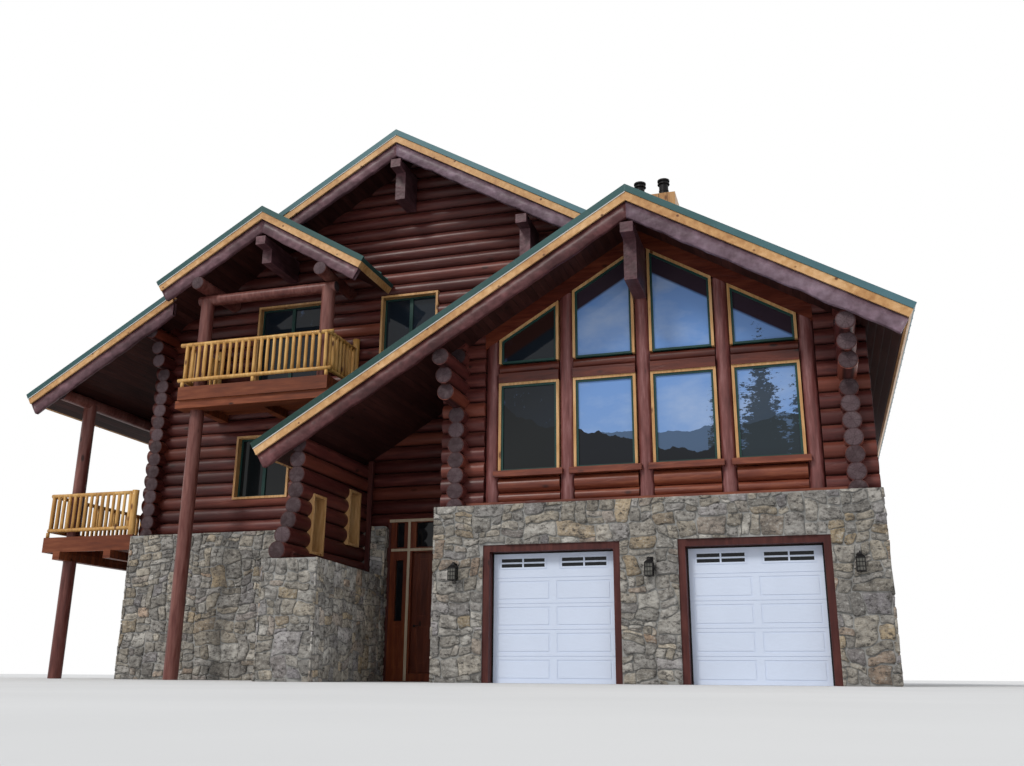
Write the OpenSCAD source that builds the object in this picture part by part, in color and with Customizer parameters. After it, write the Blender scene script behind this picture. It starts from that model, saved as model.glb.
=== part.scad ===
/* [Roof] */
// Rise over run of every roof slope
roof_pitch = 0.6; // [0.5:0.05:0.7]
// Height of the front wing's ridge above the stone storey, top of the timber
wing_ridge_up = 5805; // [5605:50:6205]
// Sideways distance from the wing's ridge to the main ridge
main_ridge_x = 6000; // [5600:100:6400]
// Sideways distance from the wing's ridge to the balcony roof's ridge
balcony_ridge_x = 9170; // [8900:10:9400]
// Half span of the balcony roof
balcony_roof_half = 2720; // [2500:20:2900]
// Sideways distance from the wing's ridge to the right eave
right_eave_x = 4930; // [4700:10:5300]
// Sideways distance from the wing's ridge to the far left eave
left_eave_x = 15900; // [15400:50:16400]
// Sideways distance from the wing's ridge to the wing's left eave
wing_left_eave_x = 7750; // [7400:50:8200]
// Vertical thickness of the timber roof deck
deck_v = 185; // [155:5:245]
// Vertical thickness of the metal roofing with the layers under it
metal_v = 150; // [60:5:180]
// Vertical depth of the hewn barge rafters
rafter_v = 370; // [300:10:440]
// Thickness of the hewn barge rafters
rafter_t = 140; // [100:10:180]
// Thickness of the pine fascia boards
fascia_t = 40; // [25:5:60]

/* [Plan] */
// Front of the garage's stone wall to the wing's front log wall
wing_wall_y = 400; // [350:10:500]
// Front of the garage's stone wall to the main front log wall
main_wall_y = 2500; // [2300:50:2800]
// Front of the garage's stone wall to the back log wall
back_wall_y = 11300; // [10500:100:12000]
// Wing's ridge to each of the wing's side walls
wing_half = 3820; // [3740:10:3900]
// Wing's ridge to the main left wall
left_wall_x = 12600; // [12300:50:12900]
// Entry frame to the porch wall
porch_wall_out = 590; // [500:10:640]
// How far the wing's barge stands in front of the garage wall
wing_barge_out = 1200; // [1100:20:1300]
// Main barge, behind the front of the garage wall
main_barge_y = 1200; // [1100:20:1300]
// Balcony barge, behind the front of the garage wall
balcony_barge_y = 600; // [500:20:700]
// How far the back barge stands behind the back log wall
back_barge_out = 1300; // [1100:20:1400]

/* [Walls] */
// Height of the stone storey
stone_h = 3360; // [3300:10:3500]
// Thickness of the stone walls
stone_t = 500; // [420:10:560]
// How far the stone face stands outside the line of the logs
stone_out = 390; // [360:10:420]
// Height of one log course
course = 315; // [300:5:330]
// Diameter of the wall logs
log_d = 350; // [340:5:370]
// How far the logs run past the corners
log_tail = 390; // [300:10:390]
// How far the porch wall's stone base ends below the top of the stone storey
porch_stone_drop = 1110; // [1000:10:1200]
// How far the porch wall's stone base stands in front of the garage wall
porch_stone_front = 1550; // [1500:10:1600]

/* [Front windows] */
// Width of the log wall on each side of the window wall
end_wall_w = 355; // [300:5:420]
// Diameter of the upright posts
post_d = 300; // [260:10:320]
// Top of the window sill plank, above the stone storey
sill_up = 710; // [650:10:790]
// Thickness of the window sill plank
sill_t = 120; // [80:10:140]
// Top of the lower windows, above the stone storey
low_win_top_up = 2560; // [2450:10:2640]
// Bottom of the upper windows, above the stone storey
high_win_base_up = 2990; // [2900:10:3040]
// Vertical depth of the sloping wall plate over the upper windows
plate_v = 320; // [280:10:360]
// Width of the pine casing boards
casing_w = 52; // [40:2:70]
// Depth of the pine casings
casing_deep = 400; // [380:10:430]
// Width of the green sash bars
sash_w = 42; // [36:2:70]
// Depth of the green sashes
sash_deep = 90; // [60:5:110]
// Thickness of the glass
glass_t = 24; // [16:1:30]

/* [Garage doors] */
// Width and height of each garage door
garage_door = 2440; // [2300:10:2600]
// Thickness of the garage doors
garage_door_t = 50; // [40:5:60]
// How far the garage doors stand behind the stone face
garage_recess = 250; // [200:10:300]
// Stone left of the left garage door, its trim included
left_pier_w = 1140; // [1060:10:1210]
// Stone right of the right garage door, its trim included
right_pier_w = 1060; // [1000:10:1140]
// Width of the timber trim around the garage doors
trim_w = 130; // [100:10:160]
// Sections in each garage door
sections = 5; // [4:1:6]

/* [Entry] */
// Width of the stone between the entry frame and the garage wall
entry_stone_w = 408; // [300:2:500]
// Width of the entry door leaf
leaf_w = 960; // [900:10:1000]
// Height of the entry door leaf
leaf_h = 2620; // [2500:10:2660]
// Thickness of the entry door leaf
leaf_t = 50; // [44:1:56]
// Clear gap round the entry door leaf
leaf_gap = 6; // [5:1:8]
// Height of the entry threshold
threshold_h = 170; // [120:10:200]
// Width of the entry frame's timbers
entry_post = 90; // [70:5:100]
// Depth of the entry frame
entry_deep = 160; // [140:10:200]
// Width of the panel beside the door
sidelight_w = 400; // [350:10:430]
// Height of the panes over the door
transom_h = 560; // [480:10:600]
// Diameter of the hinge pins
pin_d = 10; // [8:1:14]

/* [Balcony and deck] */
// Top of the balcony's floor above the stone storey
balcony_up = 3260; // [3200:10:3340]
// Half width of the balcony
balcony_half = 1950; // [1850:10:2000]
// Front of the balcony, behind the front of the garage wall
balcony_front_y = 750; // [700:10:800]
// Half distance between the balcony's posts
balcony_post_half = 1640; // [1600:10:1660]
// Top of the side deck's floor above the stone storey
veranda_up = 40; // [20:5:90]
// Outer edge of the side deck, left of the wing's ridge
veranda_edge_x = 15630; // [15400:10:15800]
// Height of the railings
rail_h = 1060; // [950:10:1150]
// Diameter of the rails
rail_d = 100; // [90:5:110]
// Diameter of the balusters
baluster_d = 85; // [60:5:95]
// Distance between balusters
baluster_pitch = 165; // [150:5:180]
// Diameter of the round porch posts
column_d = 320; // [300:10:330]

/* [Hidden] */

stone_color = "#8d8576";
log_color = "#5b1d16";
timber_color = "#4a2326";
pine_color = "#c08a3e";
metal_color = "#1f5a4c";
deck_color = "#93431f";
sash_color = "#1d4a3f";
glass_color = [0.3, 0.4, 0.5, 0.5];
black = "#1a1616";

// Heights that stand on the stone storey
wing_ridge_z = stone_h + wing_ridge_up;
porch_stone_h = stone_h - porch_stone_drop;
sill_z = stone_h + sill_up;
low_win_top = stone_h + low_win_top_up;
high_win_base = stone_h + high_win_base_up;
balcony_z = stone_h + balcony_up;
veranda_z = stone_h + veranda_up;

// Heights of the roof timbers' top, by the sideways place x
main_ridge_z = wing_ridge_z + roof_pitch * main_ridge_x;
function right_top(x) = wing_ridge_z - roof_pitch * x;
function left_top(x) = main_ridge_z + roof_pitch * (x + main_ridge_x);
function wing_left_top(x) = wing_ridge_z + roof_pitch * x;
balcony_ridge_z = left_top(-balcony_ridge_x);
function balcony_right_top(x) = balcony_ridge_z - roof_pitch * (x + balcony_ridge_x);

// Places along y
wing_barge_y = -wing_barge_out;
back_barge_y = back_wall_y + back_barge_out;
metal_lip = 20;
face = log_d / 2;
main_face_y = main_wall_y - face;
stone_face_y = main_wall_y - stone_out;
// Gap that keeps neighbouring timbers apart
seam = 0.5;

// Places across the front, from the wing to the porch wall
wing_out = wing_half + stone_out;
left_out = left_wall_x + stone_out;
back_out = back_wall_y + stone_out;
left_door_x = wing_out - left_pier_w;
right_door_x = wing_out - right_pier_w - garage_door;
entry_w = 3 * entry_post + sidelight_w + leaf_w + 2 * leaf_gap;
entry_right_x = -wing_out - entry_stone_w;
entry_left_x = entry_w - entry_right_x;
porch_wall_x = entry_left_x + porch_wall_out;

// The porch wall's logs reach forward at the bottom
flare = [1510, 1340, 1160, 1000];
porch_front = 950;

// Middle of the whole outline, which is the part's origin
middle_x = (right_eave_x - left_eave_x) / 2;
middle_y = (back_barge_y + metal_lip - porch_stone_front) / 2;
module place() { translate([-middle_x, -middle_y, 0]) children(); }

// A solid with the outline pts in x and z, from y0 to y1
module upright(pts, y0, y1) {
  translate([0, y1, 0]) rotate([90, 0, 0]) linear_extrude(y1 - y0) polygon(pts);
}

// Stacked logs that run along x
module x_logs(x0, x1, y, z0, n) {
  translate([x0, y, z0]) rotate([90, 0, 90]) linear_extrude(x1 - x0)
    for (i = [0:n - 1]) translate([0, i * course]) circle(d = log_d, $fn = 40);
}

// Stacked logs that run along y
module y_logs(x, y0, y1, z0, n) {
  translate([x, y1, z0]) rotate([90, 0, 0]) linear_extrude(y1 - y0)
    for (i = [0:n - 1]) translate([0, i * course]) circle(d = log_d, $fn = 40);
}

module x_log(x0, x1, y, z, d) {
  translate([x0, y, z]) rotate([0, 90, 0]) cylinder(h = x1 - x0, d = d, $fn = 40);
}
module y_log(x, y0, y1, z, d) {
  translate([x, y1, z]) rotate([90, 0, 0]) cylinder(h = y1 - y0, d = d, $fn = 40);
}
module post(x, y, z0, z1, d) { translate([x, y, z0]) cylinder(h = z1 - z0, d = d, $fn = 40); }
module box(lo, hi) { translate(lo) cube(hi - lo); }

// All that lies above the underside of the main roof, and of the wing's left slope
far = 20000;
module above_main(y0 = -far, y1 = far) {
  upright([[-far, left_top(-far) - deck_v], [-main_ridge_x, main_ridge_z - deck_v],
           [far, right_top(far) - deck_v], [far, far], [-far, far]], y0, y1);
}
module above_wing_left(y0 = -far, y1 = far) {
  upright([[-far, wing_left_top(-far) - deck_v], [0, wing_ridge_z - deck_v], [0, far], [-far, far]], y0, y1);
}

// Courses from the stone to a height
function courses(z) = ceil((z - stone_h) / course) + 1;
x_z0 = stone_h + course / 2;
y_z0 = stone_h;

// Windows: wall, middle along the wall, sill, width, height, number of sashes, and how far in they stand
win_w = 1480;
win_h = 1560;
win_base_up = 820;
win_high_up = 4120;
win_base = stone_h + win_base_up;
win_high = stone_h + win_high_up;
door_w = 1840;
balcony_door_h = 2350;
balcony_sill_up = 130;
deck_door_h = 2240;
deck_sill_up = 100;
porch_clear_w = 440;
porch_win_w = porch_clear_w + 2 * casing_w;
porch_win_h = 1210;
porch_sill_up = 200;
porch_step = 380;
porch_glass_in = 90;
porch_sill_1 = porch_stone_h + porch_sill_up;
porch_sill_2 = porch_sill_1 + porch_step;
windows = [
  ["front", -9670, win_base, win_w, win_h, 2, 0],
  ["front", -5960, win_high, win_w, win_h, 2, 0],
  ["front", -9170, balcony_z + balcony_sill_up, door_w, balcony_door_h, 2, 0],
  ["back", -10800, win_base, win_w, win_h, 2, 0],
  ["back", -6000, win_base, win_w, win_h, 2, 0],
  ["back", -1200, win_base, win_w, win_h, 2, 0],
  ["back", -7600, win_high, win_w, win_h, 2, 0],
  ["back", -4400, win_high, win_w, win_h, 2, 0],
  ["right", 3400, win_base, win_w, win_h, 2, 0],
  ["right", 8300, win_base, win_w, win_h, 2, 0],
  ["left", 4600, win_base, win_w, win_h, 2, 0],
  ["left", 8600, veranda_z + deck_sill_up, door_w, deck_door_h, 2, 0],
  ["porch", -260, porch_sill_1, porch_win_w, porch_win_h, 1, porch_glass_in],
  ["porch", 1370, porch_sill_2, porch_win_w, porch_win_h, 1, porch_glass_in]
];
balcony_door = 2;
function wall_of(w) = w[0];

// Puts a window's children, drawn in x and z about y = 0, on its wall
module on_wall(w) {
  if (wall_of(w) == "front") translate([w[1], main_wall_y, w[2]]) children();
  if (wall_of(w) == "back") translate([w[1], back_wall_y, w[2]]) rotate([0, 0, 180]) children();
  if (wall_of(w) == "right") translate([wing_half, w[1], w[2]]) rotate([0, 0, 90]) children();
  if (wall_of(w) == "left") translate([-left_wall_x, w[1], w[2]]) rotate([0, 0, -90]) children();
  if (wall_of(w) == "porch") translate([-porch_wall_x, w[1], w[2]]) rotate([0, 0, 90]) children();
}

// The hole that one wall's windows need
module window_holes(wall) {
  for (w = windows) if (wall_of(w) == wall) on_wall(w)
    box([-w[3] / 2, -log_d, 0], [w[3] / 2, log_d, w[4]]);
}

// A ring of four boards about a rectangle, deep along y
module ring(w, h, t, deep) {
  difference() {
    box([-w / 2, -deep / 2, 0], [w / 2, deep / 2, h]);
    box([-w / 2 + t, -deep, t], [w / 2 - t, deep, h - t]);
  }
}

// Posts and bays of the wing's window wall
corner_x = wing_half - face - end_wall_w;
bay = (corner_x - post_d / 2) / 2;
post_xs = [for (i = [-2:2]) i * bay];
function bay_mid(i) = (i + 0.5) * bay;
bay_w = bay - post_d;
base_board = 80;
panel_z0 = stone_h + base_board;
function casing_top(x) = wing_ridge_z - deck_v - plate_v - roof_pitch * abs(x);

// Trapezoid of an upper window, inset by t, its base raised by up
module upper_outline(i, t, up) {
  x0 = bay_mid(i) - bay_w / 2 + t;
  x1 = bay_mid(i) + bay_w / 2 - t;
  drop = t * sqrt(1 + roof_pitch * roof_pitch);
  polygon([[x0, high_win_base + up], [x1, high_win_base + up],
           [x1, casing_top(x1) - drop], [x0, casing_top(x0) - drop]]);
}
module upper_ring(i, t0, t1, up, y, deep) {
  translate([0, y + deep / 2, 0]) rotate([90, 0, 0]) linear_extrude(deep) difference() {
    upper_outline(i, t0, 0);
    upper_outline(i, t1, up);
  }
}

// Stone storey
module stone_box(lo, hi) { color(stone_color) place() box(lo, hi); }
trim_top = garage_door + trim_w;

module garage_front_wall() {
  color(stone_color) place() difference() {
    box([-wing_out, 0, 0], [wing_out, stone_t, stone_h]);
    for (x = [-left_door_x, right_door_x])
      box([x - trim_w, -stone_t, -1], [x + garage_door + trim_w, 2 * stone_t, trim_top]);
  }
}
module right_stone_wall() {
  stone_box([wing_out - stone_t, stone_t, 0], [wing_out, back_out - stone_t, stone_h]);
}
module back_stone_wall() { stone_box([-left_out, back_out - stone_t, 0], [wing_out, back_out, stone_h]); }
module left_stone_wall() {
  stone_box([-left_out, stone_face_y + stone_t, 0], [-left_out + stone_t, back_out - stone_t, stone_h]);
}
module front_stone_wall() {
  stone_box([-left_out, stone_face_y, 0], [-porch_wall_x, stone_face_y + stone_t, stone_h]);
}
entry_top = threshold_h + leaf_h + 2 * leaf_gap + 2 * entry_post + transom_h;
module entry_stone() {
  stone_box([-porch_wall_x, stone_face_y, 0], [-entry_left_x, stone_face_y + stone_t, stone_h]);
  stone_box([entry_right_x, stone_face_y, 0], [-wing_out, stone_face_y + stone_t, stone_h]);
}
module garage_side_wall() {
  stone_box([-wing_out, stone_t, 0], [-wing_out + stone_t, stone_face_y + stone_t, stone_h]);
}
porch_base_out = 300;
porch_base_in = 900;
module porch_stone_base() {
  color(stone_color) place() linear_extrude(porch_stone_h)
    polygon([[-porch_wall_x - porch_base_out, -porch_stone_front],
             [-porch_wall_x + porch_base_in, -porch_stone_front],
             [-entry_left_x, stone_face_y], [-porch_wall_x - porch_base_out, stone_face_y]]);
}

// Floors
slab = 200;
hall_floor = 150;
garage_floor = 60;
module ground_floor() {
  color("#9a958c") place() union() {
    box([-left_out + stone_t, stone_face_y + stone_t, 0],
        [wing_out - stone_t, back_out - stone_t, hall_floor]);
    box([-wing_out + stone_t, stone_t, 0], [wing_out - stone_t, stone_face_y + stone_t, garage_floor]);
    box([-entry_left_x, leaf_y1, 0], [entry_right_x, stone_face_y + stone_t, hall_floor]);
  }
}
module main_floor() {
  color("#a0794a") place() union() {
    box([-left_out + stone_t, stone_face_y + stone_t, stone_h - slab],
        [wing_out - stone_t, back_out - stone_t, stone_h]);
    box([-wing_out + stone_t, stone_t, stone_h - slab],
        [wing_out - stone_t, stone_face_y + stone_t, stone_h]);
  }
}
module upper_floor() {
  color("#a0794a") place()
    box([-left_wall_x + face, main_wall_y + face, balcony_z - slab],
        [-wing_half, back_wall_y - face, balcony_z]);
}

// Log storeys
wing_corbels = [1400, 1170, 1050];
main_corbels = [1050, 750, 650];
corbel_y = [for (d = wing_corbels) wing_wall_y - d];
left_corbel_y = [for (d = main_corbels) main_wall_y - d];
back_corbel_y = [for (d = main_corbels) back_wall_y + d];

// Corners: place in x and y, the way out in x and y, top, corbels' far ends and highest course
corners = [
  [-left_wall_x, main_wall_y, -1, -1, left_top(-left_wall_x), left_corbel_y, 16],
  [-left_wall_x, back_wall_y, -1, 1, left_top(-left_wall_x), back_corbel_y, 16],
  [wing_half, back_wall_y, 1, 1, right_top(wing_half), back_corbel_y, 9],
  [wing_half, wing_wall_y, 1, -1, right_top(wing_half), corbel_y, 9],
  [-wing_half, wing_wall_y, -1, -1, right_top(wing_half), corbel_y, 9]
];
function low_end(c, s) = s < 0 ? c - log_tail : c - face;
function high_end(c, s) = s < 0 ? c + face : c + log_tail;
module log_corners() {
  color(log_color) place() for (c = corners) difference() {
    union() {
      x_logs(low_end(c[0], c[2]), high_end(c[0], c[2]), c[1], x_z0, courses(c[4]));
      y0 = low_end(c[1], c[3]);
      y1 = high_end(c[1], c[3]);
      plain = c[6] - len(c[5]) + 1;
      y_logs(c[0], y0, y1, y_z0, plain);
      y_logs(c[0], y0, y1, y_z0 + (c[6] + 1) * course, courses(c[4]) - c[6] - 1);
      for (k = [0:len(c[5]) - 1])
        y_log(c[0], min(y0, c[5][k]), max(y1, c[5][k]), y_z0 + (c[6] - k) * course, log_d);
    }
    above_main();
    if (c[0] == -wing_half) above_wing_left();
    box([-far, -far, 0], [far, far, stone_h]);
  }
}
module wing_front_logs() {
  color(log_color) place() for (s = [-1, 1]) difference() {
    if (s > 0) x_logs(corner_x, wing_half - face, wing_wall_y, x_z0, courses(right_top(corner_x)));
    else x_logs(-wing_half + face, -corner_x, wing_wall_y, x_z0, courses(right_top(corner_x)));
    if (s > 0) above_main();
    else above_wing_left();
    box([-far, -far, 0], [far, far, stone_h]);
  }
}
module wing_window_posts() {
  color(log_color) place() for (x = post_xs)
    difference() {
      post(x, wing_wall_y, stone_h, wing_ridge_z, post_d);
      upright([[-far, casing_top(-far)], [0, casing_top(0)], [far, casing_top(far)], [far, far], [-far, far]],
              -far, far);
      beam_hole(0, ridge_beam_z(wing_ridge_z));
    }
}
sill_out = 60;
sill_past = 80;
ledge_h = 200;
base_out = 35;
low_share = 0.41;
module wing_bay_timbers() {
  color(log_color) place() {
    for (i = [-2:1]) {
      x0 = bay_mid(i) - bay_w / 2;
      x1 = bay_mid(i) + bay_w / 2;
      box([x0, wing_wall_y - face, stone_h], [x1, wing_wall_y + face, panel_z0]);
      panel_h = sill_z - sill_t - panel_z0;
      low_d = panel_h * low_share;
      mid_d = panel_h - low_d;
      x_log(x0, x1, wing_wall_y, panel_z0 + low_d / 2, low_d - seam);
      x_log(x0, x1, wing_wall_y, panel_z0 + low_d + mid_d / 2, mid_d - seam);
      sill_y = wing_wall_y - face - sill_out;
      union() {
        box([x0, sill_y, sill_z - sill_t], [x1, wing_wall_y + face, sill_z]);
        box([x0 - sill_past, sill_y, sill_z - sill_t],
            [x1 + sill_past, wing_wall_y - post_d / 2 - seam, sill_z]);
      }
      high_d = high_win_base - low_win_top - ledge_h;
      box([x0, wing_wall_y - face, low_win_top], [x1, wing_wall_y + face, low_win_top + ledge_h]);
      x_log(x0, x1, wing_wall_y, high_win_base - high_d / 2, high_d - seam);
    }
    base_x = wing_half - face - seam;
    box([-base_x, wing_wall_y - face - base_out, stone_h], [base_x, wing_wall_y - face - seam, panel_z0]);
    for (s = [-1, 1])
      upright([[s * seam, casing_top(seam)], [s * corner_x, casing_top(corner_x)],
               [s * corner_x, casing_top(corner_x) + plate_v], [s * seam, casing_top(seam) + plate_v]],
              wing_wall_y - post_d / 2, wing_wall_y + post_d / 2);
  }
}
module wing_side_logs() {
  color(log_color) place() difference() {
    y_logs(-wing_half, wing_wall_y + face, main_face_y, y_z0, courses(right_top(wing_half)));
    above_wing_left();
    box([-far, -far, 0], [far, far, stone_h]);
  }
}
module right_logs() {
  color(log_color) place() difference() {
    y_logs(wing_half, wing_wall_y + face, back_wall_y - face, y_z0, courses(right_top(wing_half)));
    above_main();
    box([-far, -far, 0], [far, far, stone_h]);
    window_holes("right");
  }
}
module main_front_logs() {
  color(log_color) place() difference() {
    intersection() {
      x_logs(-left_wall_x + face, -beam_w / 2, main_wall_y, x_z0, courses(main_ridge_z));
      upright([[-left_wall_x - far, stone_h], [-left_wall_x - far, far], [-beam_w / 2, far],
               [-beam_w / 2, wing_left_top(-beam_w / 2) - deck_v],
               [-wing_half, wing_left_top(-wing_half) - deck_v], [-wing_half, stone_h]], 0, far);
    }
    above_main();
    window_holes("front");
    box([-entry_left_x, 0, 0], [entry_right_x, far, entry_top]);
    for (b = purlins) beam_hole(b[0], b[1]);
  }
}
module left_logs() {
  color(log_color) place() difference() {
    y_logs(-left_wall_x, main_wall_y + face, back_wall_y - face, y_z0, courses(left_top(-left_wall_x)));
    above_main();
    box([-far, -far, 0], [far, far, stone_h]);
    window_holes("left");
  }
}
module back_logs() {
  color(log_color) place() difference() {
    x_logs(-left_wall_x + face, wing_half - face, back_wall_y, x_z0, courses(main_ridge_z));
    above_main();
    box([-far, -far, 0], [far, far, stone_h]);
    window_holes("back");
    for (b = purlins) beam_hole(b[0], b[1]);
  }
}
porch_n = 8;
module porch_logs() {
  color(log_color) place() difference() {
    union() for (i = [0:porch_n - 1])
      y_log(-porch_wall_x, -(i < len(flare) ? flare[i] : porch_front), main_face_y,
            porch_stone_h + (i + 0.5) * course, log_d);
    above_wing_left();
    box([-far, -far, 0], [far, far, porch_stone_h]);
    box([-far, stone_face_y, 0], [far, far, stone_h]);
    window_holes("porch");
  }
}

// Beams under the ridges and half way down the main slopes
beam_w = 250;
beam_h = 210;
under_h = 700;
wing_under_h = 850;
function ridge_beam_z(z) = z - deck_v - rafter_v - roof_pitch * beam_w / 2;

// Beams that run through to the back: x, top and front end
right_purlin_x = balcony_ridge_x - 2 * main_ridge_x;
purlins = [
  [-main_ridge_x, ridge_beam_z(main_ridge_z), main_barge_y],
  [right_purlin_x, ridge_beam_z(right_top(right_purlin_x)), main_barge_y],
  [-balcony_ridge_x, ridge_beam_z(balcony_ridge_z), balcony_barge_y]
];
module beam_hole(x, z) { box([x - beam_w / 2, -far, z - beam_h], [x + beam_w / 2, far, z]); }
module beam(x, z, y0, y1) { box([x - beam_w / 2, y0, z - beam_h], [x + beam_w / 2, y1, z]); }
module under_beam(x, z, y0, y1, h) {
  box([x - beam_w / 2, y0, z - beam_h - h], [x + beam_w / 2, y1, z - beam_h - seam]);
}
beam_back = 380;
module ridge_beams() {
  color(timber_color) place() {
    for (b = purlins) {
      beam(b[0], b[1], b[2] + fascia_t, back_barge_y - fascia_t);
      under_beam(b[0], b[1], b[2] + beam_back, main_face_y, b[0] == -balcony_ridge_x ? under_h / 2 : under_h);
      under_beam(b[0], b[1], back_wall_y + face, back_barge_y - beam_back, under_h);
    }
    beam(0, ridge_beam_z(wing_ridge_z), wing_barge_y + fascia_t, main_face_y);
    under_beam(0, ridge_beam_z(wing_ridge_z), wing_barge_y + beam_back, wing_wall_y - post_d / 2,
               wing_under_h);
  }
}

// A point v below the roof line, on a square cut that starts u in from the eave at x, z
cut_step = 5;
function square_in(v) = cut_step * round(roof_pitch * v / (1 + roof_pitch * roof_pitch) / cut_step);
function cut_point(x, z, way, u, v) =
  [x + way * (u + square_in(v)), z + roof_pitch * (u + square_in(v)) - v];

// Timber between the depths v0 and v1 below a roof line from the eave x0, z0 up to x1, z1
module plank(x0, z0, x1, z1, v0, v1, y0, y1) {
  way = x1 > x0 ? 1 : -1;
  upright([cut_point(x0, z0, way, 0, v0), [x1, z1 - v0], [x1, z1 - v1], cut_point(x0, z0, way, 0, v1)],
          y0, y1);
}
module plumb_plank(x0, z0, x1, z1, v0, v1, y0, y1) {
  upright([[x0, z0 - v0], [x1, z1 - v0], [x1, z1 - v1], [x0, z0 - v1]], y0, y1);
}
bal_l = -balcony_ridge_x - balcony_roof_half;
bal_r = -balcony_ridge_x + balcony_roof_half;

// Each slope, between the depths v0 and v1, its eave ends moved in by edge and its barge ends out by lip
module left_slope(v0, v1, lip, edge) {
  x0 = edge - left_eave_x;
  x1 = bal_l + edge;
  plank(x0, left_top(x0), -main_ridge_x, main_ridge_z, v0, v1,
        main_barge_y + fascia_t - lip, back_barge_y - fascia_t + lip);
  plank(x1, left_top(x1), -balcony_ridge_x, balcony_ridge_z, v0, v1,
        balcony_barge_y + fascia_t - lip, main_barge_y + fascia_t - lip - seam);
}
module right_slope(v0, v1, lip, edge) {
  x0 = right_eave_x - edge;
  x1 = seam - main_ridge_x;
  plank(x0, right_top(x0), x1, right_top(x1), v0, v1,
        main_barge_y + fascia_t - lip, back_barge_y - fascia_t + lip);
  plank(x0, right_top(x0), 0, wing_ridge_z, v0, v1,
        wing_barge_y + fascia_t - lip, main_barge_y + fascia_t - lip - seam);
}
module wing_slope(v0, v1, lip, edge) {
  x0 = edge - wing_left_eave_x;
  plank(x0, wing_left_top(x0), -seam, wing_left_top(-seam), v0, v1,
        wing_barge_y + fascia_t - lip, main_face_y);
}
module balcony_slope(v0, v1, lip, edge) {
  x0 = bal_r - edge;
  x1 = seam - balcony_ridge_x;
  plank(x0, balcony_right_top(x0), x1, balcony_right_top(x1), v0, v1,
        balcony_barge_y + fascia_t - lip, main_face_y);
}
lip = fascia_t + metal_lip;
module roof_deck_left() { color(timber_color) place() left_slope(0, deck_v, 0, fascia_t); }
module roof_deck_right() { color(timber_color) place() right_slope(0, deck_v, 0, fascia_t); }
module wing_roof_deck() {
  color(timber_color) place() difference() {
    wing_slope(0, deck_v, 0, fascia_t);
    above_main(main_barge_y - metal_lip, far);
  }
}
module balcony_roof_deck() {
  color(timber_color) place() difference() {
    balcony_slope(0, deck_v, 0, fascia_t);
    above_main(main_barge_y - metal_lip, far);
  }
}
module roof_metal() {
  color(metal_color) place() {
    left_slope(-metal_v, 0, lip, 0);
    right_slope(-metal_v, 0, lip, 0);
    difference() {
      union() {
        wing_slope(-metal_v, 0, lip, 0);
        balcony_slope(-metal_v, 0, lip, 0);
      }
      above_main(main_barge_y - metal_lip - seam, far);
    }
  }
}

// Boards along the barges: lower end, upper end, front face, and whether the lower end is an eave
barges = [
  [-left_eave_x, left_top(-left_eave_x), bal_l, left_top(bal_l), main_barge_y, true],
  [bal_l, left_top(bal_l), -balcony_ridge_x, balcony_ridge_z, balcony_barge_y, true],
  [bal_r, balcony_right_top(bal_r), -balcony_ridge_x, balcony_ridge_z, balcony_barge_y, true],
  [-balcony_ridge_x, balcony_ridge_z, -main_ridge_x, main_ridge_z, main_barge_y, false],
  [0, wing_ridge_z, -main_ridge_x, main_ridge_z, main_barge_y, false],
  [-wing_left_eave_x, wing_left_top(-wing_left_eave_x), 0, wing_ridge_z, wing_barge_y, true],
  [right_eave_x, right_top(right_eave_x), 0, wing_ridge_z, wing_barge_y, true],
  [-left_eave_x, left_top(-left_eave_x), -main_ridge_x, main_ridge_z, back_barge_y - fascia_t, true],
  [right_eave_x, right_top(right_eave_x), -main_ridge_x, main_ridge_z, back_barge_y - fascia_t, true]
];

// One barge's board between the depths v0 and v1, a seam short of its upper end
module barge_board(b, v0, v1, y0, y1) {
  short = b[2] > b[0] ? -seam : seam;
  x1 = b[2] + short;
  z1 = b[3] - roof_pitch * seam;
  if (b[5]) plank(b[0], b[1], x1, z1, v0, v1, y0, y1);
  else plumb_plank(b[0], b[1], x1, z1, v0, v1, y0, y1);
}

// Boards along the eaves: outer edge, the way in, front and back, and the roof line at the edge
eaves = [
  [-left_eave_x, 1, main_barge_y, back_barge_y - fascia_t - seam, left_top(-left_eave_x)],
  [right_eave_x, -1, wing_barge_y, back_barge_y - fascia_t - seam, right_top(right_eave_x)],
  [-wing_left_eave_x, 1, wing_barge_y, main_face_y, wing_left_top(-wing_left_eave_x)],
  [bal_r, -1, balcony_barge_y, main_face_y, balcony_right_top(bal_r)],
  [bal_l, 1, balcony_barge_y, main_barge_y - seam, left_top(bal_l)]
];
module pine_fascias() {
  color(pine_color) place() {
    for (b = barges) barge_board(b, seam, deck_v, b[4], b[4] + fascia_t);
    for (e = eaves)
      upright([for (c = [[0, seam], [fascia_t, seam], [fascia_t, deck_v], [0, deck_v]])
               cut_point(e[0], e[4], e[1], c[0], c[1])], e[2] + fascia_t + seam, e[3]);
  }
}
front_barges = 7;

// All that a lower roof covers of the main barge
module under_slope(x0, z0, x1, z1) {
  up = metal_v + seam;
  upright([[x0, 0], [x1, 0], [x1, z1 + up], [x0, z0 + up]], main_barge_y, main_face_y);
}
module barge_rafters() {
  color(timber_color) place() difference() {
    for (i = [0:len(barges) - 1]) {
      b = barges[i];
      y0 = i < front_barges ? b[4] + fascia_t : b[4] - rafter_t;
      barge_board(b, deck_v + seam, deck_v + rafter_v, y0, y0 + rafter_t);
    }
    under_slope(-wing_left_eave_x, wing_left_top(-wing_left_eave_x), 0, wing_ridge_z);
    under_slope(-balcony_ridge_x, balcony_ridge_z, bal_r, balcony_right_top(bal_r));
  }
}

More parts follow.
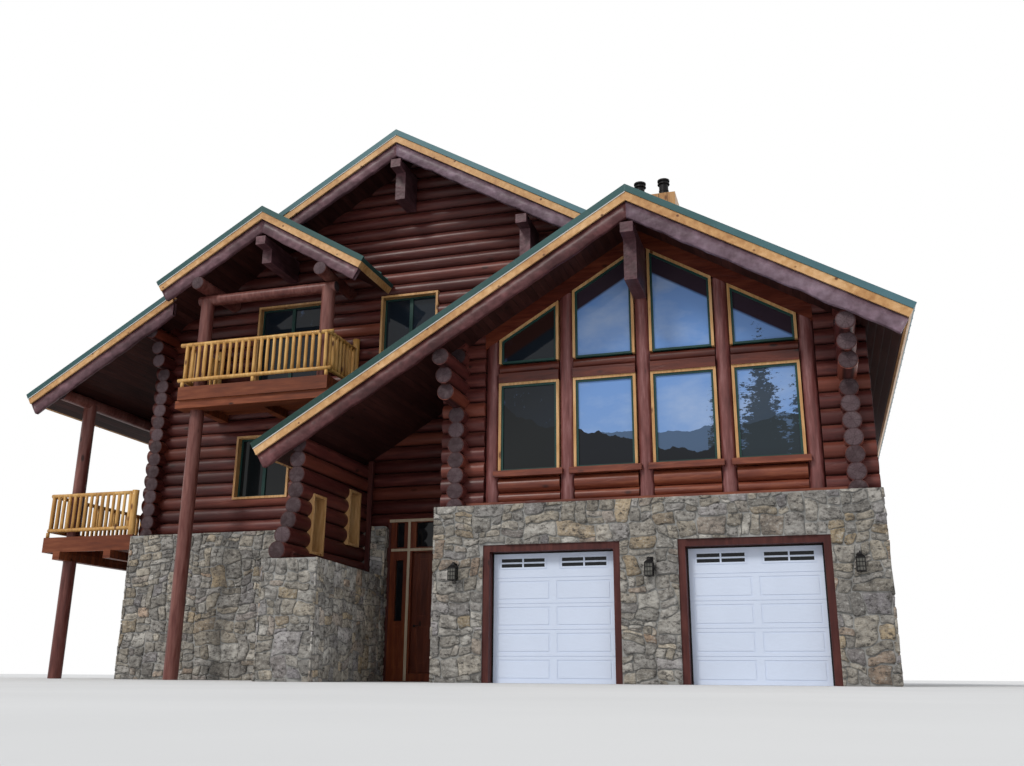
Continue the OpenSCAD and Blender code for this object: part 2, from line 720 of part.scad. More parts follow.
// Windows
bay_casing_deep = 300;
bay_sash_out = 80;
bay_sash_y = wing_wall_y - bay_sash_out;
module casing(w) { on_wall(w) ring(w[3], w[4], casing_w, casing_deep); }
module balcony_door_casing() { color(pine_color) place() casing(windows[balcony_door]); }
module window_casings() {
  low_h = low_win_top - sill_z;
  half = bay_casing_deep / 2;
  color(pine_color) place() {
    for (k = [0:len(windows) - 1]) if (k != balcony_door) casing(windows[k]);
    for (i = [-2:1]) {
      translate([bay_mid(i), wing_wall_y, sill_z]) difference() {
        box([-bay_w / 2, -half, 0], [bay_w / 2, half, low_h]);
        box([-bay_w / 2 + casing_w, -far, -1], [bay_w / 2 - casing_w, far, low_h - casing_w]);
      }
      upper_ring(i, 0, casing_w, -1, wing_wall_y, bay_casing_deep);
    }
  }
}
module window_sashes() {
  color(sash_color) place() {
    for (w = windows) on_wall(w) translate([0, w[6], casing_w]) {
      inner = w[3] - 2 * casing_w;
      pane = inner / w[5];
      for (k = [0:w[5] - 1]) translate([-inner / 2 + (k + 0.5) * pane, 0, 0])
        ring(pane, w[4] - 2 * casing_w, sash_w, sash_deep);
    }
    for (i = [-2:1]) {
      translate([bay_mid(i), bay_sash_y, sill_z])
        ring(bay_w - 2 * casing_w, low_win_top - sill_z - casing_w, sash_w, sash_deep);
      upper_ring(i, casing_w, casing_w + sash_w, sash_w, bay_sash_y, sash_deep);
    }
  }
}
module window_glass() {
  color(glass_color) place() {
    for (w = windows) on_wall(w) translate([0, w[6], 0]) {
      inner = w[3] - 2 * casing_w;
      pane = inner / w[5];
      for (k = [0:w[5] - 1]) translate([-inner / 2 + (k + 0.5) * pane, 0, 0])
        box([-pane / 2 + sash_w, -glass_t / 2, casing_w + sash_w],
            [pane / 2 - sash_w, glass_t / 2, w[4] - casing_w - sash_w]);
    }
    edge = casing_w + sash_w;
    for (i = [-2:1]) {
      translate([bay_mid(i), bay_sash_y, 0])
        box([-bay_w / 2 + edge, -glass_t / 2, sill_z + sash_w],
            [bay_w / 2 - edge, glass_t / 2, low_win_top - edge]);
      translate([0, bay_sash_y + glass_t / 2, 0]) rotate([90, 0, 0])
        linear_extrude(glass_t) upper_outline(i, edge, sash_w);
    }
    for (x = [-left_door_x, right_door_x]) translate([x, garage_recess, 0]) garage_panes(-garage_door_t / 3);
    for (p = entry_panes) box([p[0], entry_glass_y, p[1]], [p[2], entry_glass_y + glass_t, p[3]]);
  }
}

// Garage doors
section_h = garage_door / sections;
section_gap = 8;
pane_w = 420;
pane_h = 68;
pane_gap = 30;
pane_top = 120;
pane_rim = 45;
groove_w = 12;
window_in = 178;
cut = 10;
panes_w = 2 * pane_w + pane_gap;
panes_h = 2 * pane_h + pane_gap;
panes_z = garage_door - pane_top - panes_h;
panes_xs = [window_in, garage_door - window_in - panes_w];
module garage_panes(grow) {
  for (x = panes_xs) for (u = [0, 1]) for (v = [0, 1])
    translate([x + u * (pane_w + pane_gap), 0, panes_z + v * (pane_h + pane_gap)])
      box([0, -grow, 0], [pane_w, garage_door_t + grow, pane_h]);
}

// A sunk band of width w just inside the rectangle lo to hi, given in x and z, on the face at y
module sunk_band(lo, hi, w, y, deep) {
  difference() {
    box([lo[0], y - deep, lo[1]], [hi[0], y + deep, hi[1]]);
    box([lo[0] + w, y - cut, lo[1] + w], [hi[0] - w, y + cut, hi[1] - w]);
  }
}
band_w = 30;
band_deep = 8;
panel_side = 100;
panel_gap = 130;
panel_edge = 65;
panel_w = (garage_door - 2 * panel_side - panel_gap) / 2;
module garage_door_at(x) {
  color("#f0f2f5") place() translate([x, garage_recess, 0]) difference() {
    box([0, 0, 0], [garage_door, garage_door_t, garage_door]);
    for (k = [1:sections - 1]) translate([0, 0, k * section_h])
      box([-1, -1, -section_gap / 2], [garage_door + 1, band_deep, section_gap / 2]);
    for (k = [0:sections - 2]) for (x0 = [panel_side, panel_side + panel_w + panel_gap])
      sunk_band([x0, k * section_h + panel_edge], [x0 + panel_w, (k + 1) * section_h - panel_edge],
                band_w, 0, band_deep);
    for (x = panes_xs)
      sunk_band([x - pane_rim, panes_z - pane_rim], [x + panes_w + pane_rim, panes_z + panes_h + pane_rim],
                groove_w, 0, band_deep);
    garage_panes(cut);
  }
}
module garage_door_left() { garage_door_at(-left_door_x); }
module garage_door_right() { garage_door_at(right_door_x); }
trim_in = 20;
trim_back = 60;
module garage_trim() {
  color(log_color) place() for (x = [-left_door_x, right_door_x]) difference() {
    box([x - trim_w, trim_in, 0], [x + garage_door + trim_w, stone_t - trim_back, trim_top]);
    box([x, -1, -1], [x + garage_door, stone_t, garage_door]);
  }
}

// Entry
frame_in = 180;
frame_y0 = main_wall_y - frame_in;
leaf_x0 = -entry_left_x + 2 * entry_post + sidelight_w + leaf_gap;
leaf_x1 = leaf_x0 + leaf_w;
leaf_z0 = threshold_h + leaf_gap;
head_z = leaf_z0 + leaf_h + leaf_gap;
leaf_y1 = frame_y0 + entry_deep;
leaf_y0 = leaf_y1 - leaf_t;
stop_w = 18;
door_x0 = leaf_x0 - leaf_gap;
door_x1 = leaf_x1 + leaf_gap;
side_stile = 120;
side_glass_w = 190;
side_x0 = -entry_left_x + entry_post + side_stile;
lock_rail_up = 1000;
lock_rail_z = threshold_h + lock_rail_up;
lock_rail_h = 110;
transom_z0 = head_z + entry_post;
transom_z1 = entry_top - entry_post;
transom_in = 110;
transom_stile = 190;
entry_glass_y = (frame_y0 + leaf_y1) / 2;

// Glazed openings: left edge, bottom, right edge and top
entry_panes = [
  [side_x0, lock_rail_z + lock_rail_h, side_x0 + side_glass_w, head_z - transom_stile],
  [side_x0, transom_z0, side_x0 + side_glass_w, transom_z1],
  [door_x0 + transom_in, transom_z0, door_x1 - transom_in, transom_z1]
];
module entry_frame() {
  color("#8a3b1d") place() difference() {
    box([-entry_left_x, frame_y0, 0], [entry_right_x, leaf_y1, entry_top]);
    box([door_x0, leaf_y0 - leaf_gap, threshold_h], [door_x1, far, head_z]);
    box([door_x0 + stop_w, -far, threshold_h], [door_x1 - stop_w, far, head_z - stop_w]);
    for (p = entry_panes) box([p[0], -far, p[1]], [p[2], far, p[3]]);
    sunk_band([side_x0, threshold_h + lock_rail_h], [side_x0 + side_glass_w, lock_rail_z],
              band_w, frame_y0, band_deep);
  }
}
plate_t = 4;
plate_w = 60;
knuckle_d = pin_d + 10;
axis_x = leaf_x1 + leaf_gap / 2;
axis_y = leaf_y1 + knuckle_d / 2;
knuckle_h = 40;
knuckle_gap = 1;
pin_gap = 0.6;
hinge_in = 250;
hinge_zs = [leaf_z0 + hinge_in, leaf_z0 + leaf_h / 2, leaf_z0 + leaf_h - hinge_in];
module entry_hinges() {
  color(black) place() for (z = hinge_zs) {
    translate([axis_x, axis_y, z - 1.5 * knuckle_h]) cylinder(h = 3 * knuckle_h, d = pin_d, $fn = 32);
    for (k = [-1, 1]) translate([axis_x, axis_y, z + k * knuckle_h - (knuckle_h - knuckle_gap) / 2]) {
      cylinder(h = knuckle_h - knuckle_gap, d = knuckle_d, $fn = 32);
      box([0, -knuckle_d / 2, 0], [plate_w, -knuckle_d / 2 + plate_t, knuckle_h - knuckle_gap]);
    }
  }
}
leaf_stile = 150;
leaf_rail = 200;
leaf_panel_w = (leaf_w - 3 * leaf_stile) / 2;
module entry_door() {
  color("#6d2a17") place() difference() {
    box([leaf_x0, leaf_y0, leaf_z0], [leaf_x1, leaf_y1, leaf_z0 + leaf_h]);
    for (y = [leaf_y0, leaf_y1]) for (k = [0, 1]) {
      x0 = leaf_x0 + leaf_stile + k * (leaf_panel_w + leaf_stile);
      x1 = x0 + leaf_panel_w;
      sunk_band([x0, leaf_z0 + leaf_rail], [x1, lock_rail_z], band_w, y, band_deep);
      sunk_band([x0, lock_rail_z + leaf_rail], [x1, leaf_z0 + leaf_h - leaf_stile], band_w, y, band_deep);
    }
  }
}
handle_up = 1000;
handle_z = leaf_z0 + handle_up;
rose_d = 60;
rose_t = 8;
neck_d = 22;
neck_h = 55;
lever_w = 20;
lever_l = 120;
module entry_door_hardware() {
  color(black) place() {
    for (z = hinge_zs) translate([axis_x, axis_y, z - knuckle_h / 2 + pin_gap / 2]) difference() {
      union() {
        cylinder(h = knuckle_h - pin_gap, d = knuckle_d, $fn = 32);
        box([-plate_w, -knuckle_d / 2, 0], [0, -knuckle_d / 2 + plate_t, knuckle_h - pin_gap]);
      }
      translate([0, 0, -1]) cylinder(h = knuckle_h + 2, d = pin_d + pin_gap, $fn = 32);
    }
    for (s = [0, 1])
      translate([leaf_x0 + leaf_stile / 2, s > 0 ? leaf_y1 : leaf_y0, handle_z]) mirror([0, s, 0]) {
        rotate([90, 0, 0]) cylinder(h = rose_t, d = rose_d, $fn = 32);
        rotate([90, 0, 0]) cylinder(h = neck_h, d = neck_d, $fn = 32);
        box([-lever_w / 2, -neck_h, -lever_w / 2], [lever_l, -neck_h + lever_w / 2, lever_w / 2]);
      }
  }
}

// Balcony
tier_h = 310;
tier2_h = 190;
board_t = 60;
balcony_x = -balcony_ridge_x;
tier2_front = 60;
tier2_deep = 400;
tier2_out = 80;
joist_w = 200;
module balcony_deck() {
  tier2_z1 = balcony_z - tier_h - seam;
  tier2_z0 = balcony_z - tier_h - tier2_h;
  tier2_y0 = balcony_front_y + tier2_front;
  color(deck_color) place() {
    box([balcony_x - balcony_half, balcony_front_y, balcony_z - tier_h],
        [balcony_x + balcony_half, main_face_y, balcony_z]);
    box([balcony_x - balcony_half - tier2_out, tier2_y0, tier2_z0],
        [balcony_x + balcony_half, tier2_y0 + tier2_deep, tier2_z1]);
    for (k = [-1:1]) translate([balcony_x + k * balcony_post_half - joist_w / 2, 0, 0])
      box([0, tier2_y0 + tier2_deep + seam, tier2_z0], [joist_w, main_face_y, tier2_z1]);
  }
}
post_in = 400;
post_y = balcony_front_y + post_in;
tie_d = 260;
tie_up = 2300;
tie_z = balcony_z + tie_up;
tie_out = 200;
balcony_purlin_d = 320;
balcony_purlin_z = tie_z + (tie_d + balcony_purlin_d) / 2;
module balcony_posts() {
  color(log_color) place() {
    for (s = [-1, 1]) difference() {
      post(balcony_x + s * balcony_post_half, post_y, balcony_z, tie_z, column_d);
      x_log(-far, far, post_y, tie_z, tie_d + 2 * seam);
    }
    tie_half = balcony_post_half + tie_out;
    x_log(balcony_x - tie_half, balcony_x + tie_half, post_y, tie_z, tie_d);
    for (s = [-1, 1]) difference() {
      y_log(balcony_x + s * balcony_post_half, balcony_barge_y + fascia_t, main_face_y,
            balcony_purlin_z + seam, balcony_purlin_d);
      under = balcony_ridge_z - deck_v - rafter_v;
      upright([[balcony_x - far, under - roof_pitch * far], [balcony_x, under],
               [balcony_x + far, under - roof_pitch * far], [balcony_x + far, far], [balcony_x - far, far]],
              -far, far);
    }
    post(balcony_x - balcony_post_half, post_y, 0, balcony_z - tier_h - tier2_h, column_d);
  }
}

// One straight run of railing between two points, at floor height z, its rails past the ends by out
module rail_run(x0, y0, x1, y1, z, out = 0) {
  run = norm([x1 - x0, y1 - y0]);
  turn = atan2(y1 - y0, x1 - x0);
  count = floor(run / baluster_pitch);
  translate([x0, y0, z]) rotate([0, 0, turn]) {
    for (h = [rail_low, rail_h]) translate([-out, 0, h]) rotate([0, 90, 0])
      cylinder(h = run + 2 * out, d = rail_d, $fn = 12);
    for (k = [0:count]) translate([rail_d / 2 + k * (run - rail_d) / count, 0, rail_low])
      cylinder(h = rail_h - rail_low, d = baluster_d, $fn = 8);
  }
}
rail_low = 180;
rail_in = 60;
newel_d = 170;
newel_r = newel_d / 2;
newel_up = 1330;
foot_d = 90;
corner_out = 120;
module newel(x, y, z) { post(x, y, z, z + newel_up, newel_d); }
module rail_foot(x, y, z) { post(x, y, z, z + rail_low - rail_d / 2 - seam, foot_d); }

module balcony_railing() {
  x0 = balcony_x - balcony_half + rail_in;
  x1 = balcony_x + balcony_half - rail_in;
  y0 = balcony_front_y + rail_in;
  y1 = main_face_y - newel_r;
  color(pine_color) place() {
    rail_run(x0, y0, x1, y0, balcony_z, corner_out);
    for (x = [x0, x1]) {
      rail_run(x, y0 + rail_d / 2 + seam, x, y1 - newel_r - seam, balcony_z);
      newel(x, y1, balcony_z);
      rail_foot(x, y0, balcony_z);
    }
    rail_foot(balcony_x, y0, balcony_z);
  }
}

// Side deck
rim_h = 370;
veranda_y0 = main_wall_y - log_tail;
veranda_y1 = back_wall_y + log_tail;
veranda_beam_in = 550;
veranda_beam_gap = 1500;
veranda_beams_x = [for (k = [0, 1]) veranda_beam_in + k * veranda_beam_gap - veranda_edge_x];
veranda_beam_w = 200;
veranda_beam_h = 200;
beam_out = 120;
veranda_beam_z = veranda_z - rim_h - veranda_beam_h;
module veranda_deck() {
  color(deck_color) place() {
    union() {
      box([-veranda_edge_x, veranda_y0, veranda_z - board_t], [-left_out, veranda_y1, veranda_z]);
      for (y = [veranda_y0, veranda_y1 - board_t])
        box([-veranda_edge_x, y, veranda_z - rim_h], [-left_out, y + board_t, veranda_z]);
      box([-veranda_edge_x, veranda_y0, veranda_z - rim_h],
          [-veranda_edge_x + board_t, veranda_y1, veranda_z]);
    }
    for (x = veranda_beams_x) box([x - veranda_beam_w / 2, veranda_y0 - beam_out, veranda_beam_z],
        [x + veranda_beam_w / 2, veranda_y1 + beam_out, veranda_z - rim_h - seam]);
  }
}
veranda_post_x = veranda_beams_x[0];
veranda_post_in = 400;
veranda_post_run = veranda_y1 - veranda_y0 - 2 * veranda_post_in;
veranda_posts_y = [for (k = [0:3]) veranda_y0 + veranda_post_in + k * veranda_post_run / 3];
eave_log_d = 300;
eave_log_z = left_top(veranda_post_x) - deck_v - eave_log_d / 2 * sqrt(1 + roof_pitch * roof_pitch);
eave_log_gap = 60;
eave_log_in = fascia_t + rafter_t + eave_log_gap;
module veranda_posts() {
  color(log_color) place() {
    for (y = veranda_posts_y) {
      difference() {
        post(veranda_post_x, y, veranda_z, eave_log_z, column_d);
        y_log(veranda_post_x, -far, far, eave_log_z, eave_log_d + 2 * seam);
      }
      post(veranda_post_x, y, 0, veranda_beam_z - seam, column_d);
    }
    y_log(veranda_post_x, main_barge_y + eave_log_in, back_barge_y - eave_log_in, eave_log_z, eave_log_d);
  }
}
module veranda_railing() {
  x0 = -veranda_edge_x + rail_in;
  x1 = -left_out - newel_r;
  y0 = veranda_y0 + rail_in;
  y1 = veranda_y1 - rail_in;
  color(pine_color) place() {
    for (y = [y0, y1]) {
      rail_run(x0, y, x1 - newel_r - seam, y, veranda_z);
      newel(x1, y, veranda_z);
      rail_foot(x0, y, veranda_z);
    }
    rail_run(x0, y0 + rail_d / 2 + seam, x0, y1 - rail_d / 2 - seam, veranda_z);
    for (k = [1, 2]) rail_foot(x0, y0 + k * (y1 - y0) / 3, veranda_z);
  }
}

// Lanterns and flues
lantern_left_gap = 690;
lantern_right_gap = 585;
lantern_mid_shift = 25;
door_gap_mid = (right_door_x - left_door_x + garage_door) / 2;
lantern_xs = [-left_door_x - lantern_left_gap, door_gap_mid + lantern_mid_shift,
              right_door_x + garage_door + lantern_right_gap];
lantern_z = 1880;
lantern_plate_w = 120;
lantern_plate_h = 320;
lantern_plate_t = 20;
lantern_out = 150;
lantern_w = 160;
lantern_h = 300;
lantern_arm_z = 340;
lantern_foot = 60;
arm_w = 30;
module wall_lanterns() {
  color(black) place() for (x = lantern_xs) translate([x, 0, lantern_z]) union() {
    box([-lantern_plate_w / 2, -lantern_plate_t, lantern_foot],
        [lantern_plate_w / 2, 0, lantern_foot + lantern_plate_h]);
    box([-arm_w / 2, -lantern_out, lantern_arm_z], [arm_w / 2, -lantern_plate_t, lantern_arm_z + arm_w]);
    box([-lantern_w / 2, -lantern_out - lantern_w / 2, 0],
        [lantern_w / 2, -lantern_out + lantern_w / 2, lantern_h]);
    translate([0, -lantern_out, lantern_h])
      cylinder(h = lantern_arm_z + arm_w - lantern_h, d = lantern_w / 2, $fn = 24);
  }
}
chase = [[-700, 500], [2700, 3500]];
chase_z = 11050;
flue_xs = [-380, 190];
flue_d = 220;
flue_h = 400;
cap_d = 290;
cap_h = 150;
module flue_chase() {
  color(pine_color) place() difference() {
    box([chase[0][0], chase[1][0], 0], [chase[0][1], chase[1][1], chase_z]);
    up = metal_v + seam;
    upright([[-far, 0], [far, 0], [far, right_top(far) + up], [-far, right_top(-far) + up]], 0, far);
  }
}
module flue_pipes() {
  color(black) place() for (x = flue_xs) translate([x, (chase[1][0] + chase[1][1]) / 2, chase_z]) {
    cylinder(h = flue_h, d = flue_d, $fn = 32);
    translate([0, 0, flue_h]) cylinder(h = cap_h, d = cap_d, $fn = 32);
  }
}

garage_front_wall();
right_stone_wall();
back_stone_wall();
left_stone_wall();
front_stone_wall();
entry_stone();
garage_side_wall();
porch_stone_base();
ground_floor();
main_floor();
upper_floor();
log_corners();
wing_front_logs();
wing_window_posts();
wing_bay_timbers();
wing_side_logs();
right_logs();
main_front_logs();
left_logs();
back_logs();
porch_logs();
roof_deck_left();
roof_deck_right();
wing_roof_deck();
balcony_roof_deck();
roof_metal();
pine_fascias();
barge_rafters();
ridge_beams();
window_casings();
balcony_door_casing();
window_sashes();
window_glass();
garage_door_left();
garage_door_right();
garage_trim();
entry_frame();
entry_hinges();
entry_door();
entry_door_hardware();
balcony_deck();
balcony_posts();
balcony_railing();
veranda_deck();
veranda_posts();
veranda_railing();
wall_lanterns();
flue_chase();
flue_pipes();
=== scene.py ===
import math
import random

import bpy
from mathutils import Matrix, Vector, noise


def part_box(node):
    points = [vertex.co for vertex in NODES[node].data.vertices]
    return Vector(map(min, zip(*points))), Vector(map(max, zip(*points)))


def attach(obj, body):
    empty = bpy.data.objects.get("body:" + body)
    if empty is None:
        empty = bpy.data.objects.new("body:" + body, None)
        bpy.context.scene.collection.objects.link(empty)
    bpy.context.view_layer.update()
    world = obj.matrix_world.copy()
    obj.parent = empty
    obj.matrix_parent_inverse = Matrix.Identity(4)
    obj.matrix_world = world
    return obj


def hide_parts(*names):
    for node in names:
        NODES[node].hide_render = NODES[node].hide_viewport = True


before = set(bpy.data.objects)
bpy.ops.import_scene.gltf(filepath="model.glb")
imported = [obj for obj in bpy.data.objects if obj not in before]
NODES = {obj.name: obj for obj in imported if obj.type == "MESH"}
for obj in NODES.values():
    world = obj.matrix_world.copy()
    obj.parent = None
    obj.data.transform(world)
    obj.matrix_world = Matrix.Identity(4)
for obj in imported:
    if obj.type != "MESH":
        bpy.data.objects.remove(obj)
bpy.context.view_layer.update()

HOUSE = "house"
UP = Vector((0, 0, 1))
NOISE_SEED = 1795695852

# Without a seed, noise_vector takes its offsets from the clock
noise.seed_set(NOISE_SEED)


def low(name):
    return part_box(name)[0]


def high(name):
    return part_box(name)[1]


# Survey frame: x from the wing's ridge, y from the face of the garage wall
RIDGE_X = (low("wing_window_posts").x + high("wing_window_posts").x) / 2
FACE_Y = low("garage_front_wall").y


def at(x, y, z):
    return Vector((x + RIDGE_X, y + FACE_Y, z))


def seen(name):
    """The box of a node in the survey frame."""
    lo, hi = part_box(name)
    return lo - at(0, 0, 0), hi - at(0, 0, 0)


PITCH = 0.6
DECK_V = 0.185
RAFTER_V = 0.37
RAFTER_T = 0.14
FASCIA_T = 0.04
COURSE = 0.315
LOG_R = 0.175
LOG_TAIL = 0.39
TRIM_W = 0.13
LIP = 0.02

STONE_H = high("garage_front_wall").z
PORCH_STONE_H = high("porch_stone_base").z
WING_RIDGE_Z = high("wing_roof_deck").z
MAIN_RIDGE_Z = high("roof_deck_left").z
BALCONY_RIDGE_Z = high("balcony_roof_deck").z
METAL_V = high("roof_metal").z - MAIN_RIDGE_Z
MAIN_RIDGE_X = (WING_RIDGE_Z - MAIN_RIDGE_Z) / PITCH
BALCONY_RIDGE_X = MAIN_RIDGE_X - (MAIN_RIDGE_Z - BALCONY_RIDGE_Z) / PITCH
LEFT_EAVE_X = seen("pine_fascias")[0].x
RIGHT_EAVE_X = seen("pine_fascias")[1].x
WING_EAVE_X = seen("wing_roof_deck")[0].x - FASCIA_T
BALCONY_RIGHT_X = seen("balcony_roof_deck")[1].x + FASCIA_T
BALCONY_LEFT_X = 2 * BALCONY_RIDGE_X - BALCONY_RIGHT_X
WING_BARGE_Y = seen("wing_roof_deck")[0].y - FASCIA_T
MAIN_BARGE_Y = 1.2
BALCONY_BARGE_Y = seen("balcony_roof_deck")[0].y - FASCIA_T
BACK_BARGE_Y = seen("roof_deck_left")[1].y + FASCIA_T
MAIN_FACE_Y = seen("wing_roof_deck")[1].y
MAIN_WALL_Y = MAIN_FACE_Y + LOG_R
BACK_WALL_Y = seen("back_logs")[1].y - LOG_R
WING_WALL_Y = seen("wing_front_logs")[0].y + LOG_R
WING_HALF = seen("right_logs")[1].x - LOG_R
LEFT_WALL_X = seen("left_logs")[0].x + LOG_R
PORCH_WALL_X = seen("porch_logs")[0].x + LOG_R


def right_top(x):
    return WING_RIDGE_Z - PITCH * x


def left_top(x):
    return MAIN_RIDGE_Z + PITCH * (x - MAIN_RIDGE_X)


def wing_left_top(x):
    return WING_RIDGE_Z + PITCH * x


def balcony_right_top(x):
    return BALCONY_RIDGE_Z - PITCH * (x - BALCONY_RIDGE_X)


def square_in(v):
    """How far in from the eave a square cut is at the depth v."""
    return PITCH * v / (1 + PITCH * PITCH)


# Materials
DULL = 0.22


class Shader:
    """A procedural material round one Principled surface."""

    def __init__(self, name, **constants):
        self.material = bpy.data.materials.new(name)
        self.material.use_nodes = True
        self.tree = self.material.node_tree
        self.surface = self.tree.nodes["Principled BSDF"]
        for key, value in {"Specular_IOR_Level": DULL, **constants}.items():
            self.surface.inputs[key.replace("_", " ")].default_value = value
        self.place = self.node("ShaderNodeTexCoord").outputs["Object"]

    def node(self, kind, inputs=None, **settings):
        made = self.tree.nodes.new(kind)
        for key, value in settings.items():
            setattr(made, key, value)
        for key, value in (inputs or {}).items():
            self.put(made.inputs[key], value)
        return made

    def put(self, target, value):
        if isinstance(value, bpy.types.NodeSocket):
            self.tree.links.new(value, target)
        else:
            target.default_value = value

    def stretched(self, stretch, where=None):
        return self.node("ShaderNodeMapping", {"Vector": where or self.place, "Scale": stretch}).outputs[0]

    def noise(self, scale, stretch=(1, 1, 1), detail=4, rough=0.5, where=None):
        inputs = {"Vector": self.stretched(stretch, where), "Scale": scale, "Detail": detail,
                  "Roughness": rough}
        return self.node("ShaderNodeTexNoise", inputs).outputs["Fac"]

    def spots(self, scale, stretch):
        inputs = {"Vector": self.stretched(stretch), "Scale": scale}
        return self.node("ShaderNodeTexVoronoi", inputs).outputs["Distance"]

    def ramp(self, factor, *stops):
        made = self.node("ShaderNodeValToRGB", {"Fac": factor})
        bands = made.color_ramp.elements
        while len(bands) < len(stops):
            bands.new(0.5)
        for band, (place, colour) in zip(bands, stops):
            band.position = place
            band.color = (*colour, 1) if isinstance(colour, tuple) else (colour, colour, colour, 1)
        return made.outputs["Color"]

    def math(self, operation, a, b=0.0):
        made = self.node("ShaderNodeMath", operation=operation)
        self.put(made.inputs[0], a)
        self.put(made.inputs[1], b)
        return made.outputs[0]

    def add(self, a, b):
        return self.math("ADD", a, b)

    def sub(self, a, b):
        return self.math("SUBTRACT", a, b)

    def mul(self, a, b):
        return self.math("MULTIPLY", a, b)

    def div(self, a, b):
        return self.math("DIVIDE", a, b)

    def step_value(self, steps):
        """A random value for each whole step."""
        whole = self.math("FLOOR", steps)
        return self.node("ShaderNodeTexWhiteNoise", {"W": whole}, noise_dimensions="1D").outputs["Value"]

    def off_middle(self, steps):
        """How far a place is from the middle of its step."""
        return self.math("ABSOLUTE", self.sub(self.math("FRACT", steps), 0.5))

    def mix(self, factor, a, b, blend="MIX"):
        made = self.node("ShaderNodeMix", data_type="RGBA", blend_type=blend)
        self.put(made.inputs[0], factor)
        for target, value in ((made.inputs[6], a), (made.inputs[7], b)):
            self.put(target, value if isinstance(value, bpy.types.NodeSocket) else (*value, 1))
        return made.outputs[2]

    def multiplied(self, colour, tone):
        return self.mix(1.0, colour, tone, "MULTIPLY")

    def layer(self, colour, tone, factor, *stops):
        """Lays a tone over a colour by a ramp of the factor."""
        return self.mix(self.ramp(factor, *stops), colour, tone)

    def axis(self, name, source=None):
        return self.node("ShaderNodeSeparateXYZ", {"Vector": source or self.place}).outputs[name]

    def normal(self):
        return self.node("ShaderNodeNewGeometry").outputs["Normal"]

    def tint(self, output="Fac"):
        return self.node("ShaderNodeAttribute", attribute_name="tint").outputs[output]

    def finish(self, colour, rough=None, height=None, depth=0.01):
        self.put(self.surface.inputs["Base Color"], colour)
        if rough is not None:
            self.put(self.surface.inputs["Roughness"], rough)
        if height is not None:
            bump = self.node("ShaderNodeBump", {"Height": height, "Distance": depth, "Strength": 1.0})
            self.put(self.surface.inputs["Normal"], bump.outputs["Normal"])
        return self.material


ALONG = {"X": (0.12, 1, 1), "Y": (1, 0.12, 1), "Z": (1, 1, 0.12), "slope": (0.5, 1, 0.5)}
KNOT_SHAPE = {"X": (0.45, 1, 1), "Y": (1, 0.45, 1), "Z": (1, 1, 0.45), "slope": (0.8, 1, 0.8)}


def wood_colour(mat, axis, dark, mid, light, grain=14):
    """Streaks that run along an axis, over slower changes of tone."""
    fine = mat.noise(grain, ALONG[axis], 6, 0.6)
    both = mat.mul(mat.add(fine, mat.noise(1.6, ALONG[axis], 3)), 0.5)
    return mat.ramp(both, (0.36, dark), (0.5, mid), (0.64, light)), fine


def knots(mat, colour, axis, scale, tone, size):
    return mat.layer(colour, tone, mat.spots(scale, KNOT_SHAPE[axis]), (size * 0.5, 1.0), (size, 0.0))


def edge_wear(mat, colour, tone, radius=0.012, most=0.6):
    """Lightens the edges, where a rounded normal leaves the true one."""
    rounded = mat.node("ShaderNodeBevel", {"Radius": radius}, samples=4).outputs["Normal"]
    same = mat.node("ShaderNodeVectorMath", {0: rounded, 1: mat.normal()}, operation="DOT_PRODUCT")
    patchy = mat.mul(mat.sub(1.0, same.outputs["Value"]), mat.noise(16, detail=3))
    return mat.layer(colour, tone, patchy, (0.02, 0.0), (0.12, most))


# Painted shade over the logs towards the left end of the walls
LEFT_DARK_X = at(-11.2, 0, 0).x
LEFT_PAINTED_SHADE = (0.62, 0.5, 0.48)
DARK_LOG = (0.05, 0.009, 0.007)
WARM_LOG = (0.26, 0.065, 0.025)
# Painted shade in the groove between logs
GROOVE_SHADE = (0.014, 0.005, 0.005)


def log_tone(mat, colour, valley):
    """Changes the tone from log to log, and paints shade over the left end and in the groove between logs."""
    step = mat.div(mat.sub(mat.axis("Z"), valley), COURSE)
    value = mat.step_value(step)
    toned = mat.layer(colour, DARK_LOG, value, (0.0, 0.6), (0.75, 0.0))
    toned = mat.layer(toned, WARM_LOG, value, (0.8, 0.0), (1.0, 0.5))
    # Painted shade: the logs darken towards the left end
    left = mat.div(mat.axis("X"), 2 * LEFT_DARK_X)
    toned = mat.layer(toned, mat.multiplied(toned, LEFT_PAINTED_SHADE), left, (0.42, 0.0), (0.5, 1.0))
    # Painted shade in the groove between each log and the next
    return mat.layer(toned, GROOVE_SHADE, mat.off_middle(step), (0.40, 0.0), (0.49, 0.9))


LOG_TONES = [(0.054, 0.012, 0.011), (0.1, 0.023, 0.02), (0.175, 0.048, 0.036)]
BAY_TONES = [(0.08, 0.015, 0.009), (0.155, 0.035, 0.017), (0.29, 0.085, 0.038)]
POST_TONES = [(0.075, 0.018, 0.015), (0.165, 0.052, 0.048), (0.31, 0.15, 0.145)]
DECK_POST_TONES = [(0.06, 0.014, 0.012), (0.12, 0.035, 0.028), (0.21, 0.085, 0.07)]
# Painted highlight on the upper sides of logs
TOP_HIGHLIGHT = (0.26, 0.09, 0.06)
LOG_KNOT = (0.03, 0.008, 0.006)
BAY_SHADE = (0.6, 0.45, 0.45)
BAY_SHADE_Z = 5.7
GLOSSY = 0.3


def painted_top_highlight(mat, colour):
    """Paints a highlight on the upper side of each log."""
    broad = mat.ramp(mat.noise(1.3, detail=5), (0.3, 0.35), (0.7, 1.0))
    return mat.layer(colour, TOP_HIGHLIGHT, mat.mul(mat.axis("Z", mat.normal()), broad), (0.35, 0.0), (0.8, 0.4))


